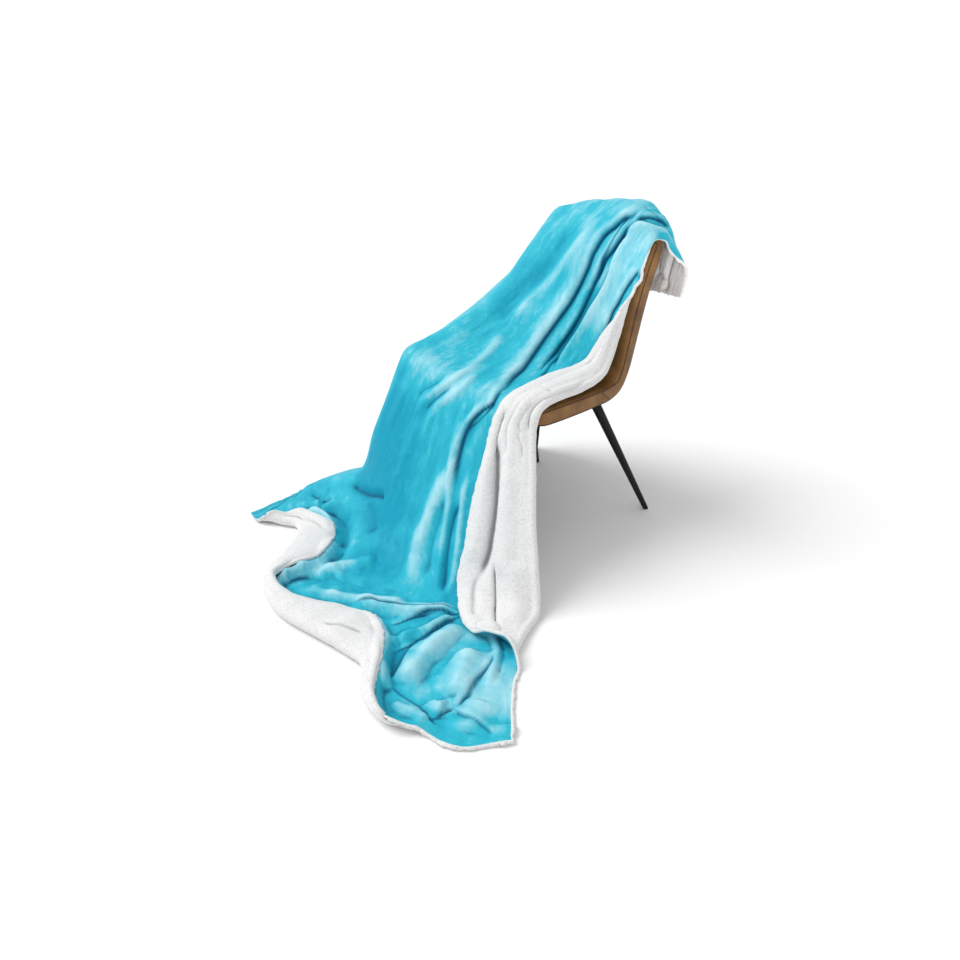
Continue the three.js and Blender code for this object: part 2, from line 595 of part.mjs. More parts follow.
// Tapered round legs, each splayed from the plate to its foot
const legTop = plate.top - plate.thick - 0.4;
const legRadius = { top: 17, foot: 9 };
const legSides = 16;
const legs = [
  { name: 'leg_rear_left', foot: [238, 331], head: [139, 157] },
  { name: 'leg_rear_right', foot: [-238, 331], head: [-139, 157] },
  { name: 'leg_front_left', foot: [228, -212], head: [139, -84] },
  { name: 'leg_front_right', foot: [-228, -212], head: [-139, -84] },
];

function legGeometry(leg) {
  const geometry = new THREE.CylinderGeometry(legRadius.top, legRadius.foot, legTop, legSides, 1);
  geometry.rotateX(Math.PI / 2);
  const place = geometry.getAttribute('position');
  for (let i = 0; i < place.count; i += 1) {
    const share = place.getZ(i) / legTop + 0.5;
    const x = leg.foot[0] + (leg.head[0] - leg.foot[0]) * share;
    const y = leg.foot[1] + (leg.head[1] - leg.foot[1]) * share;
    place.setXYZ(i, place.getX(i) + x, place.getY(i) + y, place.getZ(i) + legTop / 2);
  }
  return geometry;
}

function material(color, roughness, metalness) {
  return new THREE.MeshStandardMaterial({ color, roughness, metalness });
}

function addMesh(group, name, geometry, look) {
  const mesh = new THREE.Mesh(geometry, look);
  mesh.name = name;
  group.add(mesh);
}

const plushLook = material(0x2fb6d2, 0.75, 0);
const sherpaLook = material(0xeeeeec, 0.95, 0);
const leatherLook = material(0x7d5532, 0.45, 0);
const steelLook = material(0x14181c, 0.4, 0.6);

const part = new THREE.Group();
const grid = throwGrid();
const normals = gridNormals(grid);
addMesh(part, 'throw_face', panelGeometry(
  grid, normals, panelGap / 2, panelGap / 2 + faceThickness), plushLook);
addMesh(part, 'throw_backing', panelGeometry(
  rimmedGrid(grid, backingRim), rimmedNormals(normals),
  -panelGap / 2 - backingThickness, -panelGap / 2), sherpaLook);
addMesh(part, 'chair_shell', shellGeometry(), leatherLook);
addMesh(part, 'leg_plate', plateGeometry(), steelLook);
for (const leg of legs) addMesh(part, leg.name, legGeometry(leg), steelLook);

// The origin is the middle of the underside of everything built
const bounds = new THREE.Box3().setFromObject(part);
const middle = bounds.getCenter(new THREE.Vector3());
for (const mesh of part.children) mesh.geometry.translate(-middle.x, -middle.y, -bounds.min.z);

export default part;
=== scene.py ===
import math

import bpy
import numpy as np
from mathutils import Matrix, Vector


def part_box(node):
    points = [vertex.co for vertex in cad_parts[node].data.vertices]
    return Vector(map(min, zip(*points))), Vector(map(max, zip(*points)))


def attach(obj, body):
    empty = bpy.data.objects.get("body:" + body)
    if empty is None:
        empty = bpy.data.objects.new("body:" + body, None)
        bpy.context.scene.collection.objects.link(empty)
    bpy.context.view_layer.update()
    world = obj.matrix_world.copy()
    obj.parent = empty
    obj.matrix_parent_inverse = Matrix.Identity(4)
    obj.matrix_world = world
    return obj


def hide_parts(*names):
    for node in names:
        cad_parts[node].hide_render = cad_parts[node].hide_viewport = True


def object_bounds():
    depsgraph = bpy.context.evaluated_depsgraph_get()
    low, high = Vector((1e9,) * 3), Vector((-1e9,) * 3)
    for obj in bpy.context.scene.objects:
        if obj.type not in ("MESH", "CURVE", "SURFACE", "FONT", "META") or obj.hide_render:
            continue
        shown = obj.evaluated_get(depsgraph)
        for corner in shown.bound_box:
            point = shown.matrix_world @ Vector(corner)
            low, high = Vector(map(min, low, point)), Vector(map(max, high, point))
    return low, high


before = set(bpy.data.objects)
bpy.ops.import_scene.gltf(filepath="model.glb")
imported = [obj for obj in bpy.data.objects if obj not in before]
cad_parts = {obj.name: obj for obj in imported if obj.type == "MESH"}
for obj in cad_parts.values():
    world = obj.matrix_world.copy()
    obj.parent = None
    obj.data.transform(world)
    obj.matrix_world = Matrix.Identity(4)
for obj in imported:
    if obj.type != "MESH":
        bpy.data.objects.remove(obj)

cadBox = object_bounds()

# Lengths here are in millimetres in the chair's own frame: x across the chair,
# y towards its back, z up from the floor, with x = 0 and y = 34 at the middle
# of the plate under the seat. toFrame turns them into the row's metres.
plateY = 0.034
plateLow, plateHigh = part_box("leg_plate")
shift = np.array([(plateLow[0] + plateHigh[0]) / 2, (plateLow[1] + plateHigh[1]) / 2 - plateY, 0.0])


def toFrame(points):
    # metres = millimetres / 1000 + shift of the chair's frame
    return np.asarray(points, float) / 1000 + shift


def addObject(name, data):
    # an object at the origin, in the scene
    item = bpy.data.objects.new(name, data)
    bpy.context.scene.collection.objects.link(item)
    return item


cameraView = {
    "azimuth": 46.8, "elevation": 26.3, "distance": 3338, "aim": (-267, 88, 0),
    "lens": 37.5, "sensor": 36,
}


def makeCamera(values):
    # place = aim + distance * (sin a cos e, -cos a cos e, sin e), looking at aim
    a = math.radians(values["azimuth"])
    e = math.radians(values["elevation"])
    back = np.array([math.sin(a) * math.cos(e), -math.cos(a) * math.cos(e), math.sin(e)])
    data = bpy.data.cameras.new("camera")
    data.lens = values["lens"]
    data.sensor_width = values["sensor"]
    camera = addObject("camera", data)
    camera.location = toFrame(np.array(values["aim"]) + values["distance"] * back)
    camera.rotation_euler = (math.radians(90) - e, 0, a)
    bpy.context.scene.camera = camera


makeCamera(cameraView)
print("camera placed")

# The throw. Across the cloth runs from 0 at its near fold to 1 at the far shoulder
# and 2 at the far hem, along it from 0 at the back hem to the length at the floor hem.
throw = {
    "width": 1500, "length": 2000, "face": 3.0, "backing": 4.5, "gap": 0.3, "floorGap": 0.2,
    "seed": 11, "span": 600,  # span: millimetres that count as 1 across in a fold's places
    # the drape: the far shoulder's radius and where it fades at the hems, the run that
    # gives the last section's slope, and the steps that give a normal, across and along
    "shoulder": 24, "shoulderFade": 0.3, "slopeRun": 40, "normalStep": (0.01, 4),
    # folds, and the nap with its painted light and shade: how many widths they reach, the share
    # of the path they fade in, the width of a pleat's step, and the painted shade in a pleat's
    # crease: its place, width, full depth and reach
    "foldReach": 2.6, "napAndPaintedLightReach": 2.4, "fade": 0.16, "pleatStep": 3.7,
    "crease": {"place": -2, "width": 3.6, "depth": 7, "reach": 12},
    # small creases: their height on the drape and on the floor, where the floor begins, and
    # across and along which the far side grows calm
    "creases": 1.1, "floorCreases": 3.2, "floorBegins": (1600, 1720),
    "calmAcross": (0.8, 0.95), "calmAlong": (900, 1050),
    # the turned-up margin: its fall back to the floor and the run in which that grows, the
    # most of it that is bend, the step that gives its direction, and from where along the
    # cloth can lie under it, flattened by this much as the turn and the distance past its
    # edge say; then the ridge and hollow past it: place, width, height
    "hemSlope": 15, "slopeGrows": 30, "hemArc": 0.75, "hemStep": 0.04, "marginFrom": 1500,
    "flattened": 0.75, "flatTurn": (0.25, 0.9), "flatPast": (-30, 6),
    "ridge": (8, 13, 1), "ridgeHollow": (42, 9, 0.25),
    # its height over the cloth below, how much less at its free edge, the most it is raised,
    # the y and z under which cloth can be below it, and the seam across it with the strength
    # of the painted shade in its dip
    "clearance": 9, "edgeDrop": 4, "raised": 22, "lowCloth": (-200, 90),
    "seam": {"from": (0.425, 0.44), "to": (0.485, 0.5), "middle": 0.435, "place": 0.35,
             "slant": 6, "width": 0.06, "depth": 5, "shade": 0.5},
    # the lapel: its fold's radius and the most of its width that is bend, the step that
    # gives its direction, the turn at which it lies down, its puff, roughness and troughs
    "lapelRoll": 7, "rollShare": 0.6, "lapelStep": 0.03, "laidTurn": 0.85,
    "lapelPuff": 11, "lapelRough": 1.2, "lapelSink": -8,
    # the grid: columns and rows of each part, how the columns widen, the rows' first, last
    # and step along the cloth, and the cells in which the highest cloth is looked up
    "mainColumns": 176, "mainWidening": 1.12, "dropColumns": 25, "dropWidening": 1.5,
    "lapelColumns": 38, "bendColumns": 8, "hemBendRows": 9, "hemOverRows": 20, "cell": 9,
    "rowSteps": ((0, 160, 10), (160, 320, 4), (320, 1600, 7), (1600, 2000, 4.5)),
    # the pile: its lumps, its rim past the edge and that rim's fluff, the swell at the hems
    # and the low seam behind it: place, width and height, and where they begin
    "pile": 0.55, "trim": 6.0, "fluff": 0.4,
    "hemSwell": (9, 9, 4.0), "swellSeam": (29, 6, 2.5), "swellBegins": (480, 700),
}
floorRest = throw["backing"] + throw["gap"] / 2

# Sections of the drape, from the back hem to the floor. Width is what is turned back
# over the near fold, and turn how far over it is turned.
sectionNames = ("along", "fold", "middle", "far", "edge", "width", "turn")
sectionRows = [
    (0, (224, 408, 673), (40, 432, 664), (-205, 430, 655), (-318, 408, 60), 20, 0),
    (95, (235, 412, 736), (45, 440, 765), (-228, 432, 745), (-335, 402, 30), 20, 0),
    (145, (237, 409, 773), (60, 438, 825), (-236, 423, 788), (-344, 395, 18), 19, 0),
    (180, (223, 393, 799), (68, 430, 866), (-240, 412, 816), (-350, 388, 12), 18, 0),
    (207, (208, 377, 822), (62, 414, 897), (-240, 398, 841), (-356, 379, 8), 16, 0),
    (235, (202, 360, 846), (52, 390, 918), (-238, 380, 858), (-362, 366, 6), 14, 0),
    (290, (198, 313, 844), (42, 332, 896), (-233, 339, 834), (-374, 330, 6), 10, 0),
    (400, (201, 253, 762), (-10, 260, 790), (-236, 278, 776), (-390, 268, 6), 10, 0),
    (450, (200, 236, 720), (-13, 234, 742), (-246, 242, 732), (-397, 230, 6), 10, 0),
    (500, (197, 220, 676), (-15, 210, 694), (-256, 206, 687), (-404, 190, 6), 14, 0.6),
    (545, (195, 205, 634), (-17, 180, 655), (-261, 150, 655), (-411, 146, 6), 32, 1),
    (600, (195, 185, 583), (-20, 138, 610), (-264, 78, 618), (-420, 92, 6), 60, 1),
    (690, (199, 138, 500), (-25, 85, 550), (-273, 22, 590), (-434, 18, 6), 85, 1),
    (750, (205, 90, 478), (-28, 42, 524), (-283, -12, 572), (-446, -22, 6), 105, 1),
    (850, (211, 5, 471), (-30, -25, 502), (-293, -54, 552), (-462, -76, 6), 132, 1),
    (960, (212, -95, 470), (-35, -115, 488), (-302, -113, 534), (-486, -100, 6), 128, 1),
    (1030, (214, -150, 452), (-35, -187, 476), (-306, -175, 520), (-506, -108, 6), 130, 1),
    (1075, (219, -172, 405), (-35, -217, 438), (-310, -195, 490), (-522, -114, 6), 142, 1),
    (1200, (268, -220, 301), (-40, -275, 330), (-318, -247, 377), (-556, -124, 6), 158, 1),
    (1310, (315, -266, 205), (-45, -325, 225), (-330, -290, 278), (-575, -135, 6), 175, 1),
    (1430, (370, -309, 105), (-40, -385, 120), (-368, -314, 142), (-600, -150, 6), 198, 1),
    (1540, (422, -357, 14), (-5, -460, 30), (-462, -345, 92), (-615, -205, 6), 250, 1),
    (1650, (464, -448, 6), (40, -570, 10), (-526, -376, 56), (-618, -296, 6), 204, 1),
    (1705, (496, -512, 6), (52, -620, 6), (-544, -404, 44), (-606, -346, 6), 84, 0.8),
    (1735, (515, -551, 6), (58, -645, 6), (-549, -422, 35), (-598, -373, 6), 43, 0.42),
    (1760, (532, -585, 6), (62, -665, 6), (-553, -438, 27), (-592, -396, 6), 36, 0),
]

# Floor hem from the near corner to the far corner: places across, the outer line's x and
# y, the margin turned up, that turn's radius, how far over it is, and the ridge past it.
hemNames = ("across", "x", "y", "margin", "roll", "turn", "ridge")
hemRows = [
    (0.00, 694, -770, 14, 20, 0.0, 0),
    (0.09, 642, -834, 20, 18, 0.12, 0),
    (0.17, 555, -852, 26, 14, 0.3, 0),
    (0.25, 478, -908, 40, 14, 0.85, 12),
    (0.31, 392, -882, 60, 16, 1, 24),
    (0.38, 302, -810, 88, 19, 1, 28),
    (0.43, 220, -807, 156, 20, 1, 18),
    (0.48, 140, -815, 174, 21, 1, 7),
    (0.58, -30, -832, 116, 20, 1, 6),
    (0.66, -135, -804, 72, 19, 1, 16),
    (0.72, -196, -756, 78, 19, 1, 22),
    (0.78, -252, -654, 150, 20, 1, 20),
    (0.84, -325, -568, 138, 18, 1, 25),
    (0.89, -398, -536, 78, 14, 1, 21),
    (0.95, -468, -570, 46, 11, 0.95, 5),
    (1.00, -522, -598, 15, 8, 0.4, 0),
    (2.00, -577, -590, 8, 8, 0, 0),
]

# Soft ridges and, below 0, troughs: name, width, height, and points (across, along)
foldRows = [
    ("bunch over top", 40, 15, ((0.3, 120), (0.34, 190), (0.36, 250), (0.4, 330))),
    ("lobe over the top", 14, 2, ((0.29, 300), (0.25, 275), (0.19, 258), (0.155, 232), (0.18, 200),
        (0.2, 165))),
    ("dip of the top", 28, -5, ((0.7, 150), (0.7, 230), (0.7, 320))),
    ("far part of the top", 40, -3, ((0.92, 170), (0.9, 240), (0.88, 310))),
    ("slit of the back drop", 9, 15, ((0.14, 150), (0.15, 102), (0.151, 45), (0.12, 0))),
    ("low slit of the back drop", 8, 9, ((0.3, 58), (0.183, 39), (0.09, 12))),
    ("end of the lobe", 15, 5, ((0.08, 188), (0.12, 196), (0.16, 203), (0.2, 212), (0.25, 222))),
    ("second bunch", 26, 5, ((0.18, 240), (0.2, 275), (0.22, 300), (0.24, 340))),
    ("beside long pleat", 30, 8, ((0.52, 300), (0.48, 430), (0.5, 560), (0.52, 690), (0.5, 780),
        (0.44, 880), (0.38, 980), (0.36, 1050))),
    ("far hollow of the back", 34, -9, ((0.66, 300), (0.68, 400), (0.71, 460), (0.76, 530), (0.78, 620),
        (0.74, 720))),
    ("far swell of the back", 40, 9, ((0.84, 290), (0.86, 420), (0.9, 560), (0.9, 760), (0.86, 960))),
    ("middle swell of the back", 26, 6, ((0.6, 310), (0.56, 380), (0.58, 450), (0.65, 520), (0.69, 600),
        (0.66, 700))),
    ("seat streak", 16, 7, ((0.68, 680), (0.68, 740), (0.65, 820), (0.61, 915), (0.58, 980), (0.57, 1026),
        (0.6, 1056), (0.65, 1091), (0.69, 1121), (0.71, 1150), (0.71, 1200))),
    ("second seat streak", 12, 6, ((0.54, 900), (0.51, 985), (0.5, 1040), (0.55, 1080), (0.59, 1108),
        (0.61, 1138), (0.61, 1190), (0.6, 1240))),
    ("between seat streaks", 10, -6, ((0.57, 960), (0.55, 1024), (0.58, 1058), (0.62, 1092), (0.65, 1126),
        (0.665, 1160))),
    ("short knee crease", 8, -4, ((0.63, 1010), (0.66, 1061), (0.71, 1091), (0.74, 1111), (0.75, 1140))),
    ("corner of the knee", 20, 6, ((0.9, 1040), (0.87, 1074), (0.865, 1112), (0.86, 1180), (0.87, 1280))),
    ("inner knee ridge", 9, 4, ((0.57, 1110), (0.56, 1150), (0.55, 1200), (0.53, 1250), (0.51, 1330))),
    ("near knee ridge", 10, 4, ((0.42, 1060), (0.43, 1100), (0.435, 1150), (0.41, 1220), (0.4, 1270))),
    ("ridge beside the long pleat", 12, 7, ((0.32, 1040), (0.355, 1086), (0.385, 1120), (0.395, 1160),
        (0.4, 1200), (0.39, 1240), (0.375, 1300))),
    ("drop ridge", 24, 10, ((0.41, 1235), (0.405, 1290), (0.42, 1345), (0.43, 1400), (0.435, 1440),
        (0.45, 1490), (0.44, 1540), (0.41, 1585))),
    ("furrow by the drop ridge", 12, -6, ((0.385, 1330), (0.375, 1400), (0.385, 1470), (0.385, 1550))),
    ("narrow drop ridge", 10, 7, ((0.375, 1225), (0.375, 1280), (0.358, 1325), (0.345, 1360), (0.338, 1400),
        (0.337, 1470), (0.337, 1510), (0.333, 1560))),
    ("dark furrow", 11, -10, ((0.297, 1310), (0.315, 1364), (0.317, 1408), (0.318, 1445), (0.32, 1490),
        (0.315, 1530), (0.305, 1580))),
    ("lapel side ridge", 10, 7, ((0.297, 1250), (0.295, 1300), (0.284, 1348), (0.276, 1400), (0.272, 1445),
        (0.278, 1486), (0.285, 1532), (0.287, 1575))),
    ("far foot furrow", 16, -16, ((0.95, 1500), (0.89, 1487), (0.83, 1468), (0.76, 1444), (0.7, 1430))),
    ("foot hollow", 22, -8, ((0.78, 1470), (0.72, 1500), (0.66, 1540))),
    ("first floor ridge", 24, 20, ((0.52, 1800), (0.46, 1745), (0.4, 1700), (0.34, 1665), (0.28, 1635),
        (0.22, 1610))),
    ("second floor ridge", 16, 14, ((0.33, 1830), (0.3, 1760), (0.26, 1690), (0.22, 1630))),
    ("third floor ridge", 28, 26, ((0.19, 1640), (0.205, 1720), (0.215, 1790), (0.225, 1840),
        (0.235, 1895))),
    ("valley by the pillow", 13, -10, ((0.145, 1655), (0.151, 1715), (0.156, 1771), (0.173, 1815),
        (0.187, 1862), (0.193, 1905))),
    ("pillow", 30, 24, ((0.11, 1720), (0.1, 1780), (0.1, 1830), (0.105, 1885))),
    ("hooked ridge", 12, 16, ((0.13, 1665), (0.094, 1662), (0.056, 1690), (0.03, 1735), (0.022, 1780),
        (0.028, 1830))),
    ("channel past the hook", 9, -9, ((0.07, 1665), (0.04, 1700), (0.018, 1740), (0.009, 1790))),
    ("corner swell", 34, 12, ((0.03, 1880), (0.05, 1930), (0.07, 1975))),
    ("notch swell", 18, 14, ((0.16, 1930), (0.155, 1950), (0.145, 1965))),
    ("crumple", 8, 10, ((0.128, 1905), (0.14, 1935), (0.142, 1965))),
    ("rim of the toe", 12, 14, ((0.25, 1945), (0.215, 1962), (0.19, 1980), (0.165, 1992))),
    ("rim of the heel", 15, 17, ((0.375, 1870), (0.335, 1890), (0.3, 1915), (0.275, 1940))),
    ("heel pucker", 7, -9, ((0.31, 1880), (0.3, 1915), (0.29, 1950))),
    ("lobe ridge", 22, 14, ((0.69, 1890), (0.68, 1830), (0.66, 1730), (0.615, 1640), (0.58, 1590))),
    ("lobe hollow", 16, -8, ((0.67, 1880), (0.61, 1765), (0.51, 1686), (0.42, 1615))),
    ("low lobe ridge", 20, 14, ((0.63, 1890), (0.585, 1835), (0.52, 1765), (0.44, 1690), (0.38, 1640))),
    ("lobe pucker", 8, -8, ((0.66, 1960), (0.67, 1900), (0.67, 1840))),
    ("second lobe pucker", 7, 8, ((0.69, 1960), (0.7, 1900), (0.69, 1850))),
    ("rim of the bay", 15, 13, ((0.9, 1735), (0.85, 1700), (0.8, 1690), (0.76, 1715), (0.73, 1780),
        (0.72, 1860))),
    ("behind bay", 26, -20, ((0.9, 1640), (0.84, 1610), (0.79, 1615), (0.75, 1640), (0.71, 1690))),
    ("tip ridge", 20, 12, ((0.97, 1860), (0.93, 1740), (0.87, 1620))),
    ("tip pucker", 9, -10, ((0.97, 1700), (0.93, 1665), (0.9, 1640))),
    ("second tip pucker", 8, 9, ((0.955, 1600), (0.935, 1648), (0.9, 1690))),
    ("third tip pucker", 7, -8, ((0.915, 1600), (0.905, 1650), (0.88, 1700))),
    ("far side fold by the back", 55, 26, ((1.06, 150), (1.3, 130), (1.6, 110), (1.98, 90))),
    ("far side hollow by the back", 50, -24, ((1.08, 270), (1.35, 260), (1.65, 245), (1.98, 235))),
    ("far side fold", 52, 24, ((1.1, 400), (1.35, 395), (1.65, 390), (1.98, 385))),
    ("far side hollow", 60, -26, ((1.1, 560), (1.35, 545), (1.65, 530), (1.98, 520))),
    ("far side fold by the seat", 55, 24, ((1.12, 740), (1.35, 720), (1.65, 700), (1.98, 690))),
    ("far side hollow by the knee", 45, -20, ((1.12, 930), (1.35, 940), (1.65, 960), (1.98, 980))),
    ("back drop fold", 42, 16, ((0.72, 0), (0.73, 60), (0.75, 120), (0.77, 190))),
    ("back drop hollow", 34, -13, ((0.55, 0), (0.56, 60), (0.57, 120), (0.58, 180))),
    ("near back drop fold", 30, 12, ((0.3, 0), (0.31, 60), (0.33, 120), (0.35, 180))),
]

# Pleats, where the cloth to the right of the path stands over the cloth to its
# left: name, width and depth of the low side, width and height of the high side,
# and points (across, along). Right and left are those of a walker on the face.
pleatRows = [
    ("long pleat", 17, 12, 24, 9, ((0.27, 250), (0.3, 284), (0.34, 300), (0.39, 325), (0.42, 352),
        (0.41, 385), (0.4, 430), (0.42, 505), (0.43, 560), (0.45, 630), (0.462, 690), (0.443, 758),
        (0.405, 839), (0.362, 920), (0.31, 980), (0.28, 1030))),
    ("long pleat over the knee", 16, 8, 16, 8, ((0.33, 965), (0.29, 1020), (0.285, 1045), (0.33, 1070),
        (0.367, 1111), (0.38, 1150), (0.38, 1195), (0.37, 1250), (0.35, 1300))),
    ("second pleat", 18, 15, 12, 7, ((0.22, 285), (0.26, 305), (0.288, 325), (0.285, 371), (0.291, 408),
        (0.302, 439), (0.315, 470), (0.323, 500), (0.325, 539), (0.325, 576), (0.333, 620), (0.345, 652),
        (0.355, 690), (0.35, 730), (0.327, 800), (0.28, 870))),
    ("third pleat", 12, 10, 24, 8, ((0.24, 802), (0.273, 752), (0.299, 712), (0.304, 685), (0.297, 652),
        (0.282, 612), (0.266, 552), (0.24, 505), (0.22, 462), (0.215, 427), (0.228, 389), (0.24, 360),
        (0.235, 335), (0.21, 318))),
    ("slim pleat", 8, 5, 9, 4, ((0.33, 295), (0.335, 315), (0.327, 342), (0.31, 376), (0.304, 403),
        (0.299, 440), (0.305, 480))),
    ("near pleat", 13, 9, 18, 6, ((-0.01, 380), (0.006, 403), (0.04, 442), (0.062, 476), (0.076, 508),
        (0.094, 535), (0.096, 570), (0.11, 610))),
    ("pocket by the lapel", 10, 6, 9, 5, ((0.32, 700), (0.315, 750), (0.284, 808), (0.262, 860))),
    ("tuck under the near layer", 12, 13, 20, 8, ((0.29, 335), (0.25, 308), (0.213, 291), (0.147, 279),
        (0.092, 262), (0.065, 235), (0.06, 200), (0.05, 160))),
    ("tuck behind the lobe", 12, 7, 16, 4, ((0.17, 195), (0.148, 225), (0.165, 252), (0.2, 267),
        (0.236, 279), (0.275, 292))),
    ("fine top pleat", 6, 4, 8, 3, ((0.13, 228), (0.154, 236), (0.19, 248), (0.252, 253), (0.33, 252))),
    ("branch at the knee", 7, 4, 9, 4, ((0.27, 1040), (0.291, 1062), (0.322, 1094), (0.37, 1128))),
    ("foot of the drop", 12, 6, 18, 6, ((0.22, 1605), (0.274, 1623), (0.322, 1640), (0.368, 1660),
        (0.46, 1724), (0.52, 1800))),
    ("under the first floor ridge", 18, 9, 18, 7, ((0.2, 1612), (0.221, 1620), (0.274, 1635), (0.312, 1658),
        (0.338, 1700), (0.352, 1730), (0.378, 1765))),
    ("under the second floor ridge", 16, 9, 14, 7, ((0.2, 1615), (0.212, 1629), (0.24, 1674), (0.26, 1735),
        (0.268, 1768), (0.284, 1798), (0.305, 1840))),
    ("over the third floor ridge", 16, 8, 20, 6, ((0.272, 1905), (0.264, 1865), (0.261, 1830),
        (0.266, 1768), (0.255, 1740))),
    ("beside the pillow", 14, 5, 16, 8, ((0.048, 1715), (0.043, 1752), (0.048, 1783), (0.063, 1817),
        (0.073, 1862), (0.086, 1882), (0.106, 1918))),
    ("towards the corner", 14, 5, 14, 5, ((0, 1990), (0.02, 1968), (0.045, 1950), (0.075, 1932),
        (0.108, 1910))),
    ("notch crease", 13, 10, 10, 6, ((0.27, 1912), (0.245, 1920), (0.22, 1932), (0.2, 1946), (0.18, 1968),
        (0.16, 1985), (0.14, 1992))),
    ("crumple crease", 9, 7, 9, 5, ((0.165, 1990), (0.142, 1963), (0.128, 1946), (0.114, 1932),
        (0.104, 1915))),
]

# Folds of the turned-out lapel: name, width, height, and points (share, along),
# where the share runs from 0 at its fold to 1 at its free hem
lapelRows = [
    ("seat line", 6, -7, ((0.14, 780), (0.03, 830), (0, 880), (0, 930), (0.02, 975), (0.08, 1010),
        (0.125, 1040), (0.09, 1060), (0.02, 1080))),
    ("branch of the seat line", 5, -4, ((0.02, 955), (0.28, 941), (0.48, 941), (0.6, 950))),
    ("seat roll", 16, 6, ((-0.1, 800), (-0.14, 880), (-0.14, 960), (-0.1, 1020))),
    ("middle knee crease", 6, -4, ((0.2, 1015), (0.25, 1035), (0.3, 1059), (0.29, 1077), (0.21, 1095))),
    ("knee crease", 6, -5, ((0.46, 990), (0.51, 1033), (0.54, 1052), (0.575, 1074), (0.58, 1100),
        (0.53, 1130), (0.5, 1170))),
    ("knee swell", 14, 4, ((0.4, 1000), (0.42, 1060), (0.42, 1120), (0.38, 1200))),
    ("short crease", 5, -4, ((0.31, 1090), (0.25, 1111), (0.19, 1128), (0.17, 1160))),
    ("channel head", 8, -9, ((0.76, 1040), (0.775, 1075), (0.79, 1110), (0.8, 1135), (0.76, 1165),
        (0.71, 1190))),
    ("channel", 15, -21, ((0.78, 1110), (0.74, 1165), (0.7, 1200), (0.65, 1240), (0.61, 1280), (0.6, 1330),
        (0.62, 1380), (0.64, 1425), (0.68, 1465), (0.72, 1510))),
    ("channel's far bank", 14, 7, ((0.9, 1150), (0.86, 1230), (0.84, 1320), (0.85, 1400), (0.88, 1480))),
    ("channel's near bank", 20, 8, ((0.45, 1180), (0.38, 1260), (0.36, 1340), (0.38, 1420), (0.42, 1480))),
    ("foot crease", 6, -16, ((0.52, 1440), (0.5, 1486), (0.49, 1520), (0.49, 1576), (0.46, 1630),
        (0.44, 1665))),
    ("foot swell", 24, 10, ((0.25, 1420), (0.24, 1500), (0.22, 1580), (0.2, 1640))),
    ("soft foot hollow", 12, -5, ((0.72, 1480), (0.78, 1540), (0.8, 1600), (0.8, 1640))),
    ("between the foot creases", 14, 5, ((0.62, 1500), (0.64, 1560), (0.64, 1630))),
]

# Places where the nap is brushed light or, below 0, deep, with painted light and shade:
# painted highlights along ridges and painted shade in furrows and hollows: name, width,
# amount, and points (across, along)
napAndPaintedLightRows = [
    ("deep front", 150, -0.9, ((0.86, 1120), (0.82, 1220), (0.74, 1330), (0.7, 1440), (0.66, 1540))),
    ("deep side", 90, -0.7, ((0.97, 1060), (0.96, 1200), (0.93, 1400), (0.9, 1500))),
    ("deep foot", 90, -0.5, ((0.62, 1380), (0.6, 1480), (0.56, 1580), (0.6, 1700))),
    ("deep tip", 70, -0.5, ((0.98, 1560), (0.97, 1700), (0.98, 1850))),
    ("light band of the back", 30, 0.7, ((0.55, 300), (0.5, 420), (0.49, 540), (0.49, 640), (0.48, 709),
        (0.455, 806), (0.41, 900), (0.365, 971))),
    ("light back streak", 24, 0.6, ((0.62, 300), (0.56, 367), (0.58, 430), (0.65, 500), (0.7, 573),
        (0.67, 650))),
    ("deep band of the back", 34, -0.6, ((0.72, 330), (0.71, 406), (0.74, 453), (0.79, 520), (0.82, 600),
        (0.78, 680))),
    ("seat nap", 18, 0.6, ((0.68, 690), (0.65, 821), (0.61, 915), (0.575, 1000), (0.6, 1056), (0.65, 1091),
        (0.7, 1140))),
    ("second seat nap", 13, 0.5, ((0.52, 960), (0.5, 1030), (0.55, 1080), (0.6, 1115), (0.615, 1170),
        (0.6, 1220))),
    ("light drop", 24, 1.2, ((0.41, 1250), (0.415, 1320), (0.43, 1400), (0.44, 1470), (0.44, 1540),
        (0.38, 1600))),
    ("narrow light drop", 9, 0.9, ((0.385, 1200), (0.375, 1280), (0.348, 1350), (0.338, 1430),
        (0.336, 1510))),
    ("lapel side light", 9, 0.9, ((0.3, 1230), (0.295, 1310), (0.275, 1410), (0.28, 1500), (0.287, 1560))),
    ("deep furrow", 14, -1, ((0.31, 1330), (0.317, 1420), (0.32, 1500), (0.31, 1570))),
    ("second pleat shade", 16, -0.8, ((0.285, 470), (0.295, 540), (0.305, 610), (0.32, 670), (0.32, 740))),
    ("near layer", 60, 0.9, ((0.05, 250), (0.1, 330), (0.13, 420), (0.15, 520), (0.2, 620))),
    ("light floor", 120, 0.7, ((0.25, 1700), (0.15, 1760), (0.08, 1850), (0.05, 1930))),
    ("light corner", 70, 0.7, ((0, 1720), (0, 1800), (0.01, 1880), (0.02, 1950))),
    ("floor hollow shade", 26, -1.2, ((0.33, 1765), (0.31, 1750), (0.29, 1720))),
    ("second floor hollow shade", 24, -1.3, ((0.27, 1790), (0.28, 1840), (0.275, 1880))),
    ("lobe light", 20, 0.8, ((0.68, 1840), (0.66, 1730), (0.62, 1640))),
    ("low lobe light", 22, 0.8, ((0.6, 1850), (0.53, 1770), (0.44, 1690), (0.4, 1650))),
    ("deep lobe", 60, -0.4, ((0.66, 1580), (0.58, 1640), (0.5, 1680))),
]


def rise(place, start, end):
    # 0 before start, 1 after end, and t * t * (3 - 2 t) between them
    t = np.clip((place - start) / (end - start), 0, 1)
    return t * t * (3 - 2 * t)


def band(distance, place, width, height):
    # height * exp(-((distance - place) / width)^2)
    return height * np.exp(-(((distance - place) / width) ** 2))


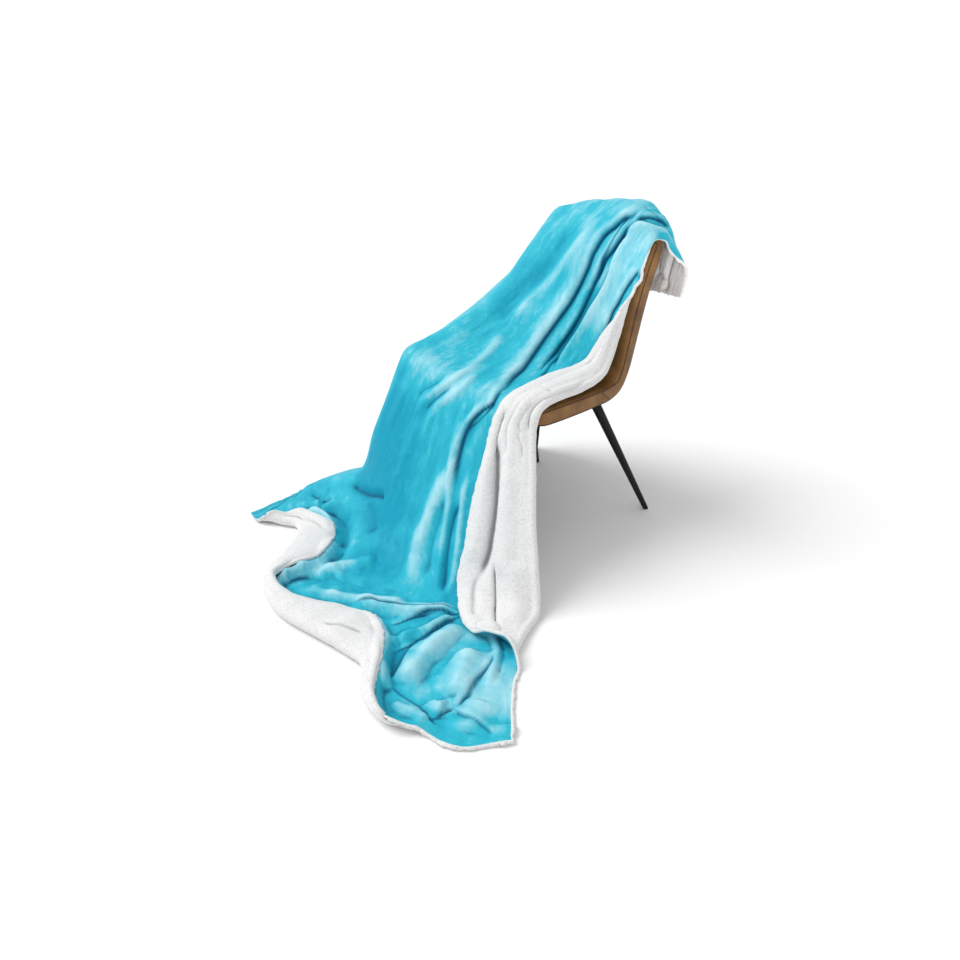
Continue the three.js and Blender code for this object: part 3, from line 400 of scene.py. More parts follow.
def unit(vectors):
    # each vector divided by its length
    return vectors / np.maximum(np.linalg.norm(vectors, axis=-1, keepdims=True), 1e-9)


def hermite(t, first, firstRun, last, lastRun):
    # the ends and the slopes at them, each weighted by a cubic of t
    return (first * (2 * t**3 - 3 * t**2 + 1) + firstRun * (t**3 - 2 * t**2 + t)
            + last * (3 * t**2 - 2 * t**3) + lastRun * (t**3 - t**2))


def smoothTable(places, values, at):
    # Hermite curve through a table: each row's slope is (next - last) over their distance
    places = np.asarray(places, float)
    values = np.asarray(values, float).reshape(len(places), -1)
    at = np.clip(np.asarray(at, float), places[0], places[-1])
    index = np.clip(np.searchsorted(places, at, side="right") - 1, 0, len(places) - 2)
    after = np.minimum(np.arange(len(places)) + 1, len(places) - 1)
    before = np.maximum(np.arange(len(places)) - 1, 0)
    slope = (values[after] - values[before]) / (places[after] - places[before])[:, None]
    span = (places[index + 1] - places[index])[..., None]
    t = (at - places[index])[..., None] / span
    return hermite(t, values[index], slope[index] * span, values[index + 1], slope[index + 1] * span)


def smoothPath(path, steps):
    # places at even steps of a Hermite curve through the path's points
    path = np.array(path, float)
    return smoothTable(np.arange(len(path)), path, np.linspace(0, len(path) - 1, steps + 1))


def between(table, i, j, s, t):
    # the four values round a place, weighted by its shares s and t, wrapping past the table's end
    rows, columns = table.shape
    near, far = (table[k % rows, j % columns] * (1 - t) + table[k % rows, (j + 1) % columns] * t
                 for k in (i, i + 1))
    return near * (1 - s) + far * s


def softNoise(u, v, seed):
    # -1 to 1: random values at whole u and v, joined by t * t * (3 - 2 t)
    table = np.random.default_rng(throw["seed"] + seed).uniform(-1, 1, (97, 89))
    i, j = np.floor(u).astype(int), np.floor(v).astype(int)
    return between(table, i, j, rise(u - i, 0, 1), rise(v - j, 0, 1))


def onFloor(points):
    # no point lower than where the cloth rests on the floor
    points[..., 2] = np.maximum(points[..., 2], floorRest)
    return points


sectionPlaces = [row[0] for row in sectionRows]
hemPlaces = [row[0] for row in hemRows]
lastSection = sectionPlaces[-1]


def sectionColumn(name, along):
    # one column of the section table at each place along the cloth
    column = sectionNames.index(name)
    return smoothTable(sectionPlaces, [row[column] for row in sectionRows], along)


def lapelColumn(name, along):
    # the same for the lapel's width or turn, as single numbers
    return sectionColumn(name, along)[..., 0]


def hemColumn(name, across):
    # one column of the hem table at each place across the cloth
    column = hemNames.index(name)
    return smoothTable(hemPlaces, [row[column] for row in hemRows], across)[..., 0]


def rawSection(ends, across):
    # parabola through fold, middle and far up to 1, then the line from far to edge
    fold, middle, far, edge = ends
    s = across[..., None]
    bow = fold * (1 - s) * (1 - 2 * s) + middle * 4 * s * (1 - s) + far * s * (2 * s - 1)
    t = np.clip(s - 1, 0, 1)
    return np.where(s > 1, far + (edge - far) * t, bow)


def sectionAt(across, along):
    # section averaged over 5 places, up to one shoulder radius either side
    ends = [sectionColumn(name, along) for name in ("fold", "middle", "far", "edge")]
    mainLength = np.linalg.norm(ends[0] - ends[2], axis=-1)
    dropLength = np.linalg.norm(ends[2] - ends[3], axis=-1)
    fromHem = np.minimum(across, np.abs(2 - across)) / throw["shoulderFade"]
    total = 0
    for step, weight in ((-1, 0.125), (-0.5, 0.25), (0, 0.25), (0.5, 0.25), (1, 0.125)):
        move = step * (throw["shoulder"] * np.minimum(1, fromHem))
        place = across + move / np.where(across > 1, dropLength, mainLength)
        over = (across <= 1) & (place > 1)
        back = (across > 1) & (place < 1)
        place = np.where(over, 1 + (move - (1 - across) * mainLength) / dropLength, place)
        place = np.where(back, 1 + (move + (across - 1) * dropLength) / mainLength, place)
        total = total + weight * rawSection(ends, place)
    return total


def hemLine(across):
    # outer line of the hem, at the height where the cloth rests on the floor
    x = hemColumn("x", across)
    return np.stack([x, hemColumn("y", across), np.full_like(x, floorRest)], axis=-1)


def baseSheet(across, along):
    # sections up to the last one, then a Hermite curve to the hem line
    across, along = np.broadcast_arrays(np.asarray(across, float), np.asarray(along, float))
    upper = sectionAt(across, np.minimum(along, lastSection))
    start = sectionAt(across, np.full_like(along, lastSection))
    before = sectionAt(across, np.full_like(along, lastSection - throw["slopeRun"]))
    end = hemLine(across)
    straight = end - start
    slope = unit(start - before) * np.linalg.norm(straight, axis=-1, keepdims=True)
    t = np.clip((along - lastSection) / (throw["length"] - lastSection), 0, 1)[..., None]
    return np.where((along > lastSection)[..., None], hermite(t, start, slope, end, straight), upper)


def baseNormal(across, along):
    # across run x along run, from points one step either side
    acrossStep, alongStep = throw["normalStep"]
    left, right = np.maximum(across - acrossStep, 0), np.minimum(across + acrossStep, 2)
    low, high = np.maximum(along - alongStep, 0), np.minimum(along + alongStep, throw["length"])
    acrossRun = baseSheet(right, along) - baseSheet(left, along)
    alongRun = baseSheet(across, high) - baseSheet(across, low)
    return unit(np.cross(acrossRun, alongRun))


def turnOver(roll, share, angle, flat, beyond):
    # out and up from a fold: round a bend of radius roll / share, or flat where share is 0, and
    # then beyond it straight on
    turning = share > 0.01
    radius = roll / np.where(turning, share, 1)
    out = np.where(turning, radius * np.sin(angle), flat) + beyond * np.cos(angle)
    lift = np.where(turning, radius * (1 - np.cos(angle)), 0) + beyond * np.sin(angle)
    return out, lift


def hemProfile(across, inBend, inOver):
    # how far out of the hem line and how high: a bend of the margin's radius, then straight
    # back, less slope * turn * inOver^2
    margin, roll = hemColumn("margin", across), hemColumn("roll", across)
    turn = np.clip(hemColumn("turn", across), 0, 1)
    arc = np.minimum(math.pi * roll, margin * throw["hemArc"])
    beyond = (margin - arc) * inOver
    out, lift = turnOver(roll, turn, turn * (arc / roll) * inBend, arc * inBend, beyond)
    return out, lift - throw["hemSlope"] * turn * inOver**2 * np.minimum(1, beyond / throw["slopeGrows"])


def hemOutward(across):
    # level direction away from the cloth, square to the hem line one step either side
    step = throw["hemStep"]
    run = hemLine(np.minimum(across + step, 2)) - hemLine(np.maximum(across - step, 0))
    return unit(np.stack([-run[:, 1], run[:, 0], 0 * run[:, 0]], axis=-1))


def marginEdge():
    # the margin's free edge, laid on the floor
    across = np.linspace(0, 1, 161)
    out, lift = hemProfile(across, 1, 1)
    return (hemLine(across) + hemOutward(across) * out[:, None]) * (1, 1, 0)


freeEdge = marginEdge()


def nearLine(points, places, line, marks):
    # signed distance to the nearest segment, right of its run positive, and the share along it
    best = np.full(len(points), np.inf)
    share = np.zeros(len(points))
    side = np.ones(len(points))
    steps = len(line) - 1
    for i in range(steps):
        run = line[i + 1] - line[i]
        t = np.clip((points - line[i]) @ run / max(run @ run, 1e-9), 0, 1)
        away = np.linalg.norm(points - line[i] - t[:, None] * run, axis=-1)
        mark = marks[i + 1] - marks[i]
        off = places - marks[i] - t[:, None] * mark
        closer = away < best
        best = np.where(closer, away, best)
        share = np.where(closer, (i + t) / steps, share)
        side = np.where(closer, np.where(mark[1] * off[:, 0] < mark[0] * off[:, 1], -1, 1), side)
    return best * side, share


def pastMargin(point, along):
    # level distance past the margin's free edge, below 0 under the margin, or 999 where the
    # cloth hangs
    points = point.reshape(-1, 3) * (1, 1, 0)
    lying = along.ravel() > throw["marginFrom"]
    distance = np.full(len(points), 999.0)
    distance[lying] = nearLine(points[lying], points[lying, :2], freeEdge, freeEdge[:, :2])[0]
    return distance.reshape(along.shape)


def clothPlaces(across, along):
    # places in the cloth in millimetres
    return np.stack([across * throw["span"], along], axis=-1)


def foldLine(path, steps=40):
    # points of the sheet and their places in the cloth, at even steps of a smooth path
    across, along = smoothPath(path, steps).T
    across = np.clip(across, 0, 2)
    return baseSheet(across, along), clothPlaces(across, along)


def alongLine(total, points, places, line, marks, reach, shape, values):
    # adds shape(signed distance, *values) to the points within reach, faded out at both ends
    low, high = line.min(0) - reach, line.max(0) + reach
    inside = np.all((points > low) & (points < high), axis=-1)
    distance, share = nearLine(points[inside], places[inside], line, marks)
    fade = rise(share, 0, throw["fade"]) * (1 - rise(share, 1 - throw["fade"], 1))
    total[inside] += fade * shape(distance, *values)


def pleatHeight(distance, lowWidth, low, highWidth, high):
    # high * exp(-(d / width)^2) on the right and -low * exp(-(d / width)^2) on the left,
    # joined by a share of 0.5 + 0.5 tanh(d / step)
    over = 0.5 + 0.5 * np.tanh(distance / throw["pleatStep"])
    up = band(np.maximum(distance, 0), 0, highWidth, high)
    down = band(np.minimum(distance, 0), 0, lowWidth, low)
    return over * up - (1 - over) * down


# Each line with its reach, shape and values: the folds and pleats; the nap with its painted
# light and shade, where a pleat's low side gets painted shade by its depth / 26 and its high
# side a painted highlight by its height / 14, both of them narrower; and the painted shade of
# the crease in a pleat's bottom, full where the pleat is as deep as "depth"
foldForms = [(foldLine(path), throw["foldReach"] * width, band, (0, width, height))
             for name, width, height, path in foldRows]
napAndPaintedLightForms = [(foldLine(path), throw["napAndPaintedLightReach"] * width, band, (0, width, amount))
            for name, width, amount, path in napAndPaintedLightRows]
crease = throw["crease"]
creaseForms = []
for name, lowWidth, low, highWidth, high, path in pleatRows:
    line, widest = foldLine(path, 60), max(lowWidth, highWidth)
    foldForms.append((line, throw["foldReach"] * widest, pleatHeight, (lowWidth, low, highWidth, high)))
    napAndPaintedLightForms.append((line, throw["napAndPaintedLightReach"] * widest, pleatHeight,
                     (lowWidth * 0.7, low / 26, highWidth * 0.6, high / 14)))
    creaseForms.append((line, crease["reach"], band,
                        (crease["place"], crease["width"], min(1, low / crease["depth"]))))


def sumForms(forms, point, across, along):
    # all of the forms added up at each point of the base sheet
    points, places = point.reshape(-1, 3), clothPlaces(across.ravel(), along.ravel())
    total = np.zeros(len(points))
    for line, reach, shape, values in forms:
        alongLine(total, points, places, *line, reach, shape, values)
    return total.reshape(point.shape[:-1])


def smallCreases(across, along):
    # on the drape noise in cells about 26 x 190 mm, pushed aside by a broader noise; on the
    # floor 1 - 2 |noise| in cells about 50 mm; each with a finer noise added
    u, v = across * throw["span"], along
    drape = softNoise(u / 26 + 1.5 * softNoise(u / 90, v / 260, 1), v / 190, 2)
    drape = drape + 0.6 * softNoise(u / 13, v / 120 + u / 60, 3)
    floor = 1 - 2 * np.abs(softNoise(u / 46 + v / 150, v / 60 - u / 110, 4))
    floor = floor + 0.5 * softNoise(u / 18, v / 22, 5)
    lying = rise(along, *throw["floorBegins"])
    calm = rise(across, *throw["calmAcross"]) * rise(along, *throw["calmAlong"])
    hanging = (1 - lying) * (1 - calm)
    return throw["creases"] * drape * hanging + throw["floorCreases"] * floor * lying


def hemRidge(across, past):
    # ridge height * (ridge band * pucker - hollow band), past the margin's free edge
    pucker = 1 + 0.35 * softNoise(across * 30, past / 60, 6) + 0.25 * softNoise(across * 45, past / 30, 8)
    ridge = band(past, *throw["ridge"]) * pucker - band(past, *throw["ridgeHollow"])
    return hemColumn("ridge", across) * ridge


def mainSheet(across, along):
    # base sheet raised by its folds and creases, flattened under the margin and kept on the floor
    across, along = np.broadcast_arrays(np.asarray(across, float), np.asarray(along, float))
    point, normal = baseSheet(across, along), baseNormal(across, along)
    past = pastMargin(point, along)
    under = rise(hemColumn("turn", across), *throw["flatTurn"]) * (1 - rise(past, *throw["flatPast"]))
    height = sumForms(foldForms, point, across, along) + smallCreases(across, along)
    height = height * (1 - throw["flattened"] * under) + hemRidge(across, past)
    return onFloor(point + normal * height[..., None]), normal


def mainWidth(along):
    # straight lengths fold to middle to far
    fold, middle, far = (sectionColumn(name, along) for name in ("fold", "middle", "far"))
    return np.linalg.norm(fold - middle, axis=-1) + np.linalg.norm(middle - far, axis=-1)


def lapelRoll(along):
    # radius of the lapel's fold, less where it is narrow
    return np.minimum(throw["lapelRoll"], throw["rollShare"] / math.pi * lapelColumn("width", along))


def lapelPoints(past, along):
    # half a turn of the lapel's roll, then laid on the main sheet two radii above it
    roll = lapelRoll(along)
    arc = math.pi * roll
    turn = np.clip(lapelColumn("turn", along), 0, 1)
    zero = np.zeros_like(along)
    start, up = mainSheet(zero, along)
    inner, _ = mainSheet(zero + throw["lapelStep"], along)
    outward = unit(start - inner)
    beyond = np.maximum(past - arc, 0)
    angle = turn * math.pi * np.minimum(past / arc, 1)
    out, lift = turnOver(roll, turn, angle, np.minimum(past, arc), beyond)
    free = start + outward * out[..., None] + up * lift[..., None]
    over, normal = mainSheet(beyond / mainWidth(along), along)
    laid = over + normal * 2 * roll[..., None]
    blend = (rise(turn, throw["laidTurn"], 1) * (beyond > 0))[..., None]
    return onFloor(free * (1 - blend) + laid * blend)


def topHeight(points):
    # highest point in each square cell of the floor and its neighbours, evened out over 3 x 3 cells
    cell = throw["cell"]
    low = points[:, :2].min(0) - 4 * cell
    place = np.floor((points[:, :2] - low) / cell).astype(int)
    field = np.full(place.max(0) + 6, floorRest)
    np.maximum.at(field, (place[:, 0], place[:, 1]), points[:, 2])
    shifts = [(i, j) for i in (-1, 0, 1) for j in (-1, 0, 1)]
    for even in (np.max, np.mean):
        field = even([np.roll(field, shift, (0, 1)) for shift in shifts], axis=0)
    return field, low


def heightAt(field, low, points):
    # the field at each point, read between the middles of its cells
    place = (points[:, :2] - low) / throw["cell"] - 0.5
    place = np.clip(place, 0, np.array(field.shape) - 2.001)
    return between(field, *np.floor(place).astype(int).T, *(place - np.floor(place)).T)


def hemTurn(across, start, body, steps):
    # the margin past the hem line, with soft waves, raised over the cloth below it by a soft
    # maximum, 3 * log(1 + exp(over / 3)), less the seam's dip; and the painted shade in the seam's dip
    outward = hemOutward(across)
    field, low = topHeight(body[(body[:, 1:] < throw["lowCloth"]).all(1)])
    waves = 1 + 0.16 * softNoise(across * 24, across * 0, 14) + 0.08 * softNoise(across * 60, across * 0, 15)
    seam = throw["seam"]
    dent = rise(across, *seam["from"]) * (1 - rise(across, *seam["to"]))
    slanted = seam["slant"] * (across - seam["middle"])
    rows, shades = [], []
    for inBend, inOver in steps:
        out, lift = hemProfile(across, inBend, inOver)
        point = start + outward * out[:, None]
        height = start[:, 2] + lift * waves
        clear = heightAt(field, low, point) + throw["clearance"] * inBend
        clear = clear - throw["edgeDrop"] * rise(inOver, 0.7, 1)
        over = np.where(out < -4, clear - height, -50)
        dip = dent * band(inOver - seam["place"] + slanted, 0, seam["width"], 1) * (inOver > 0)
        raised = np.minimum(3 * np.logaddexp(0, over / 3), throw["raised"]) - seam["depth"] * dip
        point[:, 2] = height + raised
        rows.append(onFloor(point))
        shades.append(seam["shade"] * dip)
    return np.array(rows), np.array(shades)


def lapelPlace(share, along):
    # point of the lapel, share 0 at its fold and 1 at its free hem
    arc = math.pi * lapelRoll(along)
    return lapelPoints(arc + share * (lapelColumn("width", along) - arc), along)


def lapelMarks(points):
    # height * exp(-(distance / width)^2) for each fold of the lapel, and in its troughs a shade,
    # min(1, -height / 12) * exp(-(distance / (0.7 width))^2)
    heights, shades = np.zeros(len(points)), np.zeros(len(points))
    places = np.zeros((len(points), 2))
    for name, width, height, path in lapelRows:
        ends = smoothPath(path, 40)
        line = (lapelPlace(*ends.T), np.zeros_like(ends))
        alongLine(heights, points, places, *line, throw["foldReach"] * width, band, (0, width, height))
        if height < 0:
            shade = (0, 0.7 * width, min(1, -height / 12))
            alongLine(shades, points, places, *line, 2 * width, band, shade)
    return heights, shades


def gridNormals(grid):
    # across run x along run of the neighbours
    alongRun = np.gradient(grid, axis=0)
    acrossRun = np.gradient(grid, axis=1)
    return unit(np.cross(acrossRun, alongRun))


def throwGrid():
    # rows along the cloth, then the turned-up hem; columns from the near hem to the far hem; and
    # at each point the nap with its painted light and shade, and the painted shade of the pleats'
    # creases, the lapel's troughs and the hem's seam
    lapel = np.concatenate([2 - np.arange(throw["lapelColumns"]) / throw["lapelColumns"],
                            1 - np.arange(throw["bendColumns"]) / throw["bendColumns"]])
    main = np.linspace(0, 1, throw["mainColumns"], endpoint=False) ** throw["mainWidening"]
    drop = 1 + np.linspace(0, 1, throw["dropColumns"] + 1) ** throw["dropWidening"]
    across = np.concatenate([main, drop])
    along = np.concatenate([np.arange(*step) for step in throw["rowSteps"]] + [[throw["length"]]])
    bodyAcross, bodyAlong = np.meshgrid(across, along)
    body, _ = mainSheet(bodyAcross, bodyAlong)
    part, sideAlong = np.meshgrid(lapel, along)
    arc = math.pi * lapelRoll(sideAlong)
    width = lapelColumn("width", sideAlong)
    past = np.where(part <= 1, part * arc, arc + (part - 1) * (width - arc))
    side = lapelPoints(past, sideAlong)
    laid = rise(part, 1, 1.12) * rise(lapelColumn("turn", sideAlong), throw["laidTurn"], 1)
    heights, shades = lapelMarks(side.reshape(-1, 3))
    puff = throw["lapelPuff"] * np.sin(np.pi * np.clip(part - 1, 0, 1)) + heights.reshape(part.shape)
    puff = puff + throw["lapelRough"] * softNoise(part * 9, sideAlong / 90, 7)
    side = onFloor(side - gridNormals(side) * (laid * np.maximum(puff, throw["lapelSink"]))[..., None])
    grid = np.concatenate([side, body], axis=1)
    bend, over = throw["hemBendRows"], throw["hemOverRows"]
    steps = [((i + 1) / bend, 0) for i in range(bend)] + [(1, (i + 1) / over) for i in range(over)]
    turned, seams = hemTurn(np.concatenate([lapel * 0, across]), grid[-1], body.reshape(-1, 3), steps)
    base = baseSheet(bodyAcross, bodyAlong)
    rows, first = part.shape
    marks = np.zeros((2, rows + len(turned), grid.shape[1]))
    marks[0, :rows, first:] = sumForms(napAndPaintedLightForms, base, bodyAcross, bodyAlong)
    marks[0, :rows, :first] = marks[0, :rows, first:first + 1]
    marks[1, :rows, first:] = np.minimum(sumForms(creaseForms, base, bodyAcross, bodyAlong), 1)
    marks[1, :rows, :first] = np.minimum(shades.reshape(part.shape), 1)
    marks[1, rows:] = seams
    return np.concatenate([grid, turned]), marks


grid, marks = throwGrid()
print("throw grid", grid.shape)


def numbered(rows, columns, first=0):
    # vertex numbers of a grid, row by row
    return first + np.arange(rows * columns).reshape(rows, columns)


def gridQuads(index, ring=False):
    # a face between each four neighbours, the last column joined to the first in a ring
    if ring:
        index = np.column_stack([index, index[:, 0]])
    return np.stack([index[:-1, :-1], index[:-1, 1:], index[1:, 1:], index[1:, :-1]], -1).reshape(-1, 4)


def addMesh(name, vertices, faces):
    # a smooth mesh object in the row's frame, from points in millimetres
    mesh = bpy.data.meshes.new(name)
    mesh.vertices.add(len(vertices))
    mesh.vertices.foreach_set("co", toFrame(vertices).astype(np.float32).ravel())
    corners = np.concatenate([f.ravel() for f in faces])
    sizes = np.concatenate([np.full(len(f), f.shape[1]) for f in faces])
    starts = np.concatenate([[0], np.cumsum(sizes)[:-1]])
    mesh.loops.add(len(corners))
    mesh.loops.foreach_set("vertex_index", corners.astype(np.int32))
    mesh.polygons.add(len(sizes))
    mesh.polygons.foreach_set("loop_start", starts.astype(np.int32))
    mesh.update(calc_edges=True)
    mesh.validate()
    mesh.polygons.foreach_set("use_smooth", np.full(len(mesh.polygons), True))
    return addObject(name, mesh)


def addAttribute(piece, name, values):
    # one float a vertex, for the material to read
    attribute = piece.data.attributes.new(name, "FLOAT", "POINT")
    attribute.data.foreach_set("value", np.asarray(values, np.float32))


def addMap(piece, coordinates):
    # UV map in metres of flat cloth
    layer = piece.data.uv_layers.new(name="cloth")
    loops = np.empty(len(piece.data.loops), np.int32)
    piece.data.loops.foreach_get("vertex_index", loops)
    layer.data.foreach_set("uv", np.asarray(coordinates, np.float32)[loops].ravel())


def clothMap(grid):
    # mean lengths of the rows and columns, added up from the near back corner
    across = np.linalg.norm(np.diff(grid, axis=1), axis=-1).mean(0)
    along = np.linalg.norm(np.diff(grid, axis=0), axis=-1).mean(1)
    u = np.concatenate([[0], np.cumsum(across)])
    v = np.concatenate([[0], np.cumsum(along)])
    return np.stack(np.meshgrid(u, v), -1)


def hollowness(grid, normals, reach):
    # how far each point lies below the mean of its neighbours, reach cells away, and a
    # quarter of that on the far drop, where the cells are wider
    padded = np.pad(grid, ((reach, reach), (reach, reach), (0, 0)), mode="edge")
    rows, columns = grid.shape[:2]
    mean = 0
    for i, j in ((0, 1), (2, 1), (1, 0), (1, 2)):
        mean = mean + padded[i * reach:i * reach + rows, j * reach:j * reach + columns] / 4
    drop = columns - throw["dropColumns"]
    share = 1 - 0.75 * rise(np.arange(columns), drop - 12, drop)
    return ((mean - grid) * normals).sum(-1) * share


def edgeRings(grid, normals, profile):
    # the sheet's border loop carried along the profile's (out, height) steps: out times a fluff
    # of 1 + 0.4 noise + 0.4 finer noise, and a fifth of that and no higher than the sheet where
    # the edge is rolled in, on the far part of the floor hem and at the near end of the top
    index = numbered(*grid.shape[:2])
    ring, inner = (np.concatenate([index[n, :-1], index[:-1, -1 - n], index[-1 - n, :0:-1], index[:0:-1, n]])
                   for n in (0, 1))
    points, up = grid.reshape(-1, 3), normals.reshape(-1, 3)[ring]
    border = points[ring]
    out = border - points[inner]
    out = unit(out - up * (out * up).sum(-1, keepdims=True))
    out = unit(out + np.roll(out, 1, 0) + np.roll(out, -1, 0))
    place = np.cumsum(np.linalg.norm(border - np.roll(border, 1, 0), axis=-1))
    rolled = [(hemLine(np.array([1.45]))[0], 60), (baseSheet(0, 285), 62)]
    hidden = [band(np.linalg.norm(border - middle, axis=-1), 0, size, 1) for middle, size in rolled]
    hidden = np.max(hidden, axis=0)
    fluff, rings = throw["fluff"], []
    for i, (away, height) in enumerate(profile):
        soft = 1 + fluff * softNoise(place / 9, place * 0 + i / 2, 9)
        soft = soft + fluff * softNoise(place / 4, place * 0 + i, 10)
        above = height - max(height, 0) * hidden
        rings.append(border + out * (away * soft * (1 - 0.8 * hidden))[:, None] + up * above[:, None])
    return ring, np.array(rings)


def addSheet(name, grid, normals, offset, profile):
    # one open sheet: the grid moved by its offset, and the rings of its edge
    flat = clothMap(grid).reshape(-1, 2)
    ring, rings = edgeRings(grid, normals, profile)
    index = numbered(*grid.shape[:2])
    loops = np.concatenate([ring[None], numbered(len(rings), len(ring), index.size)])
    strips = gridQuads(loops, True)[:, [0, 3, 2, 1]]
    vertices = np.concatenate([(grid + normals * offset[..., None]).reshape(-1, 3), rings.reshape(-1, 3)])
    vertices[:, 2] = np.maximum(vertices[:, 2], throw["floorGap"])
    side = 1 if offset.mean() > 0 else -1
    piece = addMesh(name, vertices, [gridQuads(index)[:, ::side], strips[:, ::side]])
    beyond = np.array([away for away, height in profile])[:, None, None] * np.array([1, 0.3])
    addMap(piece, np.concatenate([flat, (flat[ring] + beyond).reshape(-1, 2)]) / 1000)
    # hollow and broad: how hollow the sheet is at 3 and 9 cells, which the materials turn into painted shade
    hollow, broad = (side * hollowness(grid, normals, reach) for reach in (3, 9))
    for label, values in (("hollow", hollow), ("broad", broad), ("napAndPaintedLight", marks[0]), ("crease", marks[1])):
        addAttribute(piece, label, np.concatenate([values.ravel(), np.zeros(rings[..., 0].size)]))
    return piece


normals = gridNormals(grid)
gap = throw["gap"] / 2
plushTop = gap + throw["face"]
plushEdge = ((1.6, plushTop - 0.7), (2.0, plushTop - 2.2), (0.4, gap))
plush = addSheet("plush_face", grid, normals, np.full(grid.shape[:2], plushTop), plushEdge)

# Pile of the reverse: deeper along the near and the floor hems, with a low seam behind
uv = clothMap(grid)
fromHem = np.minimum(uv[..., 0], uv[-1:, :, 1] - uv[..., 1])
swell = band(fromHem, *throw["hemSwell"]) - band(fromHem, *throw["swellSeam"])
swell = swell * rise(np.minimum(uv[..., 1], throw["length"]), *throw["swellBegins"])
lumps = softNoise(*np.moveaxis(uv / 11, -1, 0), 12) + 0.7 * softNoise(*np.moveaxis(uv / 24, -1, 0), 13)
low, trim = gap + throw["backing"], throw["trim"]
depth = low + swell + throw["pile"] * lumps
sherpaEdge = ((trim * 0.55, -low * 1.05), (trim * 0.95, -low * 0.6), (trim * 1.1, 0), (trim, plushTop * 0.7),
              (trim * 0.6, plushTop * 1.25), (trim * 0.1, plushTop * 1.3), (-trim * 0.25, plushTop * 0.9))
sherpa = addSheet("sherpa_reverse", grid, normals, -depth, sherpaEdge)
print("throw panels made")


def setInputs(node, values, tree=None):
    # each input set to its number or colour, or linked to another node's output
    for name, value in values.items():
        if hasattr(value, "is_linked"):
            tree.links.new(value, node.inputs[name])
        else:
            node.inputs[name].default_value = value


def addNode(tree, kind, values, output, **settings):
    # a node with its inputs and settings, and one of its outputs
    node = tree.nodes.new("ShaderNode" + kind)
    for name, value in settings.items():
        setattr(node, name, value)
    setInputs(node, values, tree)
    return node.outputs[output]


def newMaterial(name, values):
    # an empty node material, with its shader's constants set
    material = bpy.data.materials.new(name)
    material.use_nodes = True
    shader = material.node_tree.nodes["Principled BSDF"]
    setInputs(shader, values)
    return material, material.node_tree, shader


def mixColor(tree, factor, first, second):
    # colour = first + (second - first) * factor
    return addNode(tree, "Mix", {0: factor, 6: first, 7: second}, 2, data_type="RGBA")


def noise(tree, vector, scale, detail=3, rough=0.5):
    # fractal noise, 0 to 1
    values = {"Vector": vector, "Scale": scale, "Detail": detail, "Roughness": rough}
    return addNode(tree, "TexNoise", values, "Fac")


def cells(tree, vector, scale):
    # distance to the nearest of random points
    return addNode(tree, "TexVoronoi", {"Vector": vector, "Scale": scale}, "Distance")


def ramp(tree, value, low, high):
    # 0 at low and 1 at high, straight between
    return addNode(tree, "MapRange", {"Value": value, "From Min": low, "From Max": high}, "Result")


def bump(tree, height, distance, strength, *normal):
    # normal, or else the surface's own, bent by the height's slope
    values = {"Height": height, "Distance": distance, "Strength": strength}
    return addNode(tree, "Bump", values | {"Normal": n for n in normal}, "Normal")


def readAttribute(tree, name):
    # the piece's own value for each vertex
    return addNode(tree, "Attribute", {}, "Fac", attribute_name=name)


def plus(tree, first, *others):
    # all of the values added up in their order
    for other in others:
        first = addNode(tree, "Math", {0: first, 1: other}, "Value", operation="ADD")
    return first


def times(tree, first, second):
    # first * second
    return addNode(tree, "Math", {0: first, 1: second}, "Value", operation="MULTIPLY")


def clothPlace(tree, scale, turn=0):
    # the piece's UV map, stretched and turned
    uv = addNode(tree, "UVMap", {}, "UV", uv_map="cloth")
    return addNode(tree, "Mapping", {"Vector": uv, "Scale": scale, "Rotation": (0, 0, turn)}, "Vector")


plushLook = {
    # light, mid and deep: tones of the pile; the light and deep ends also carry the painted highlights and
    # painted shade that the nap attribute brings
    "light": (0.37, 0.70, 0.79, 1),
    "mid": (0.024, 0.465, 0.60, 1),
    "deep": (0.0, 0.32, 0.47, 1),
    # crease: colour of the painted shade in hollows and creases
    "crease": (0.0, 0.09, 0.19, 1),
    "midTone": 0.45, "tone": 0.42, "napAndPaintedLight": 0.38, "brushed": 0.78, "flecks": 0.16, "broad": -0.02,
    "hollow": (1.2, 7), "line": (0.15, 0.9),
    "shader": {"Roughness": 0.62, "Specular IOR Level": 0.2, "Sheen Weight": 0.18, "Sheen Roughness": 0.3,
               "Sheen Tint": (0.45, 0.93, 1.0, 1)},
}


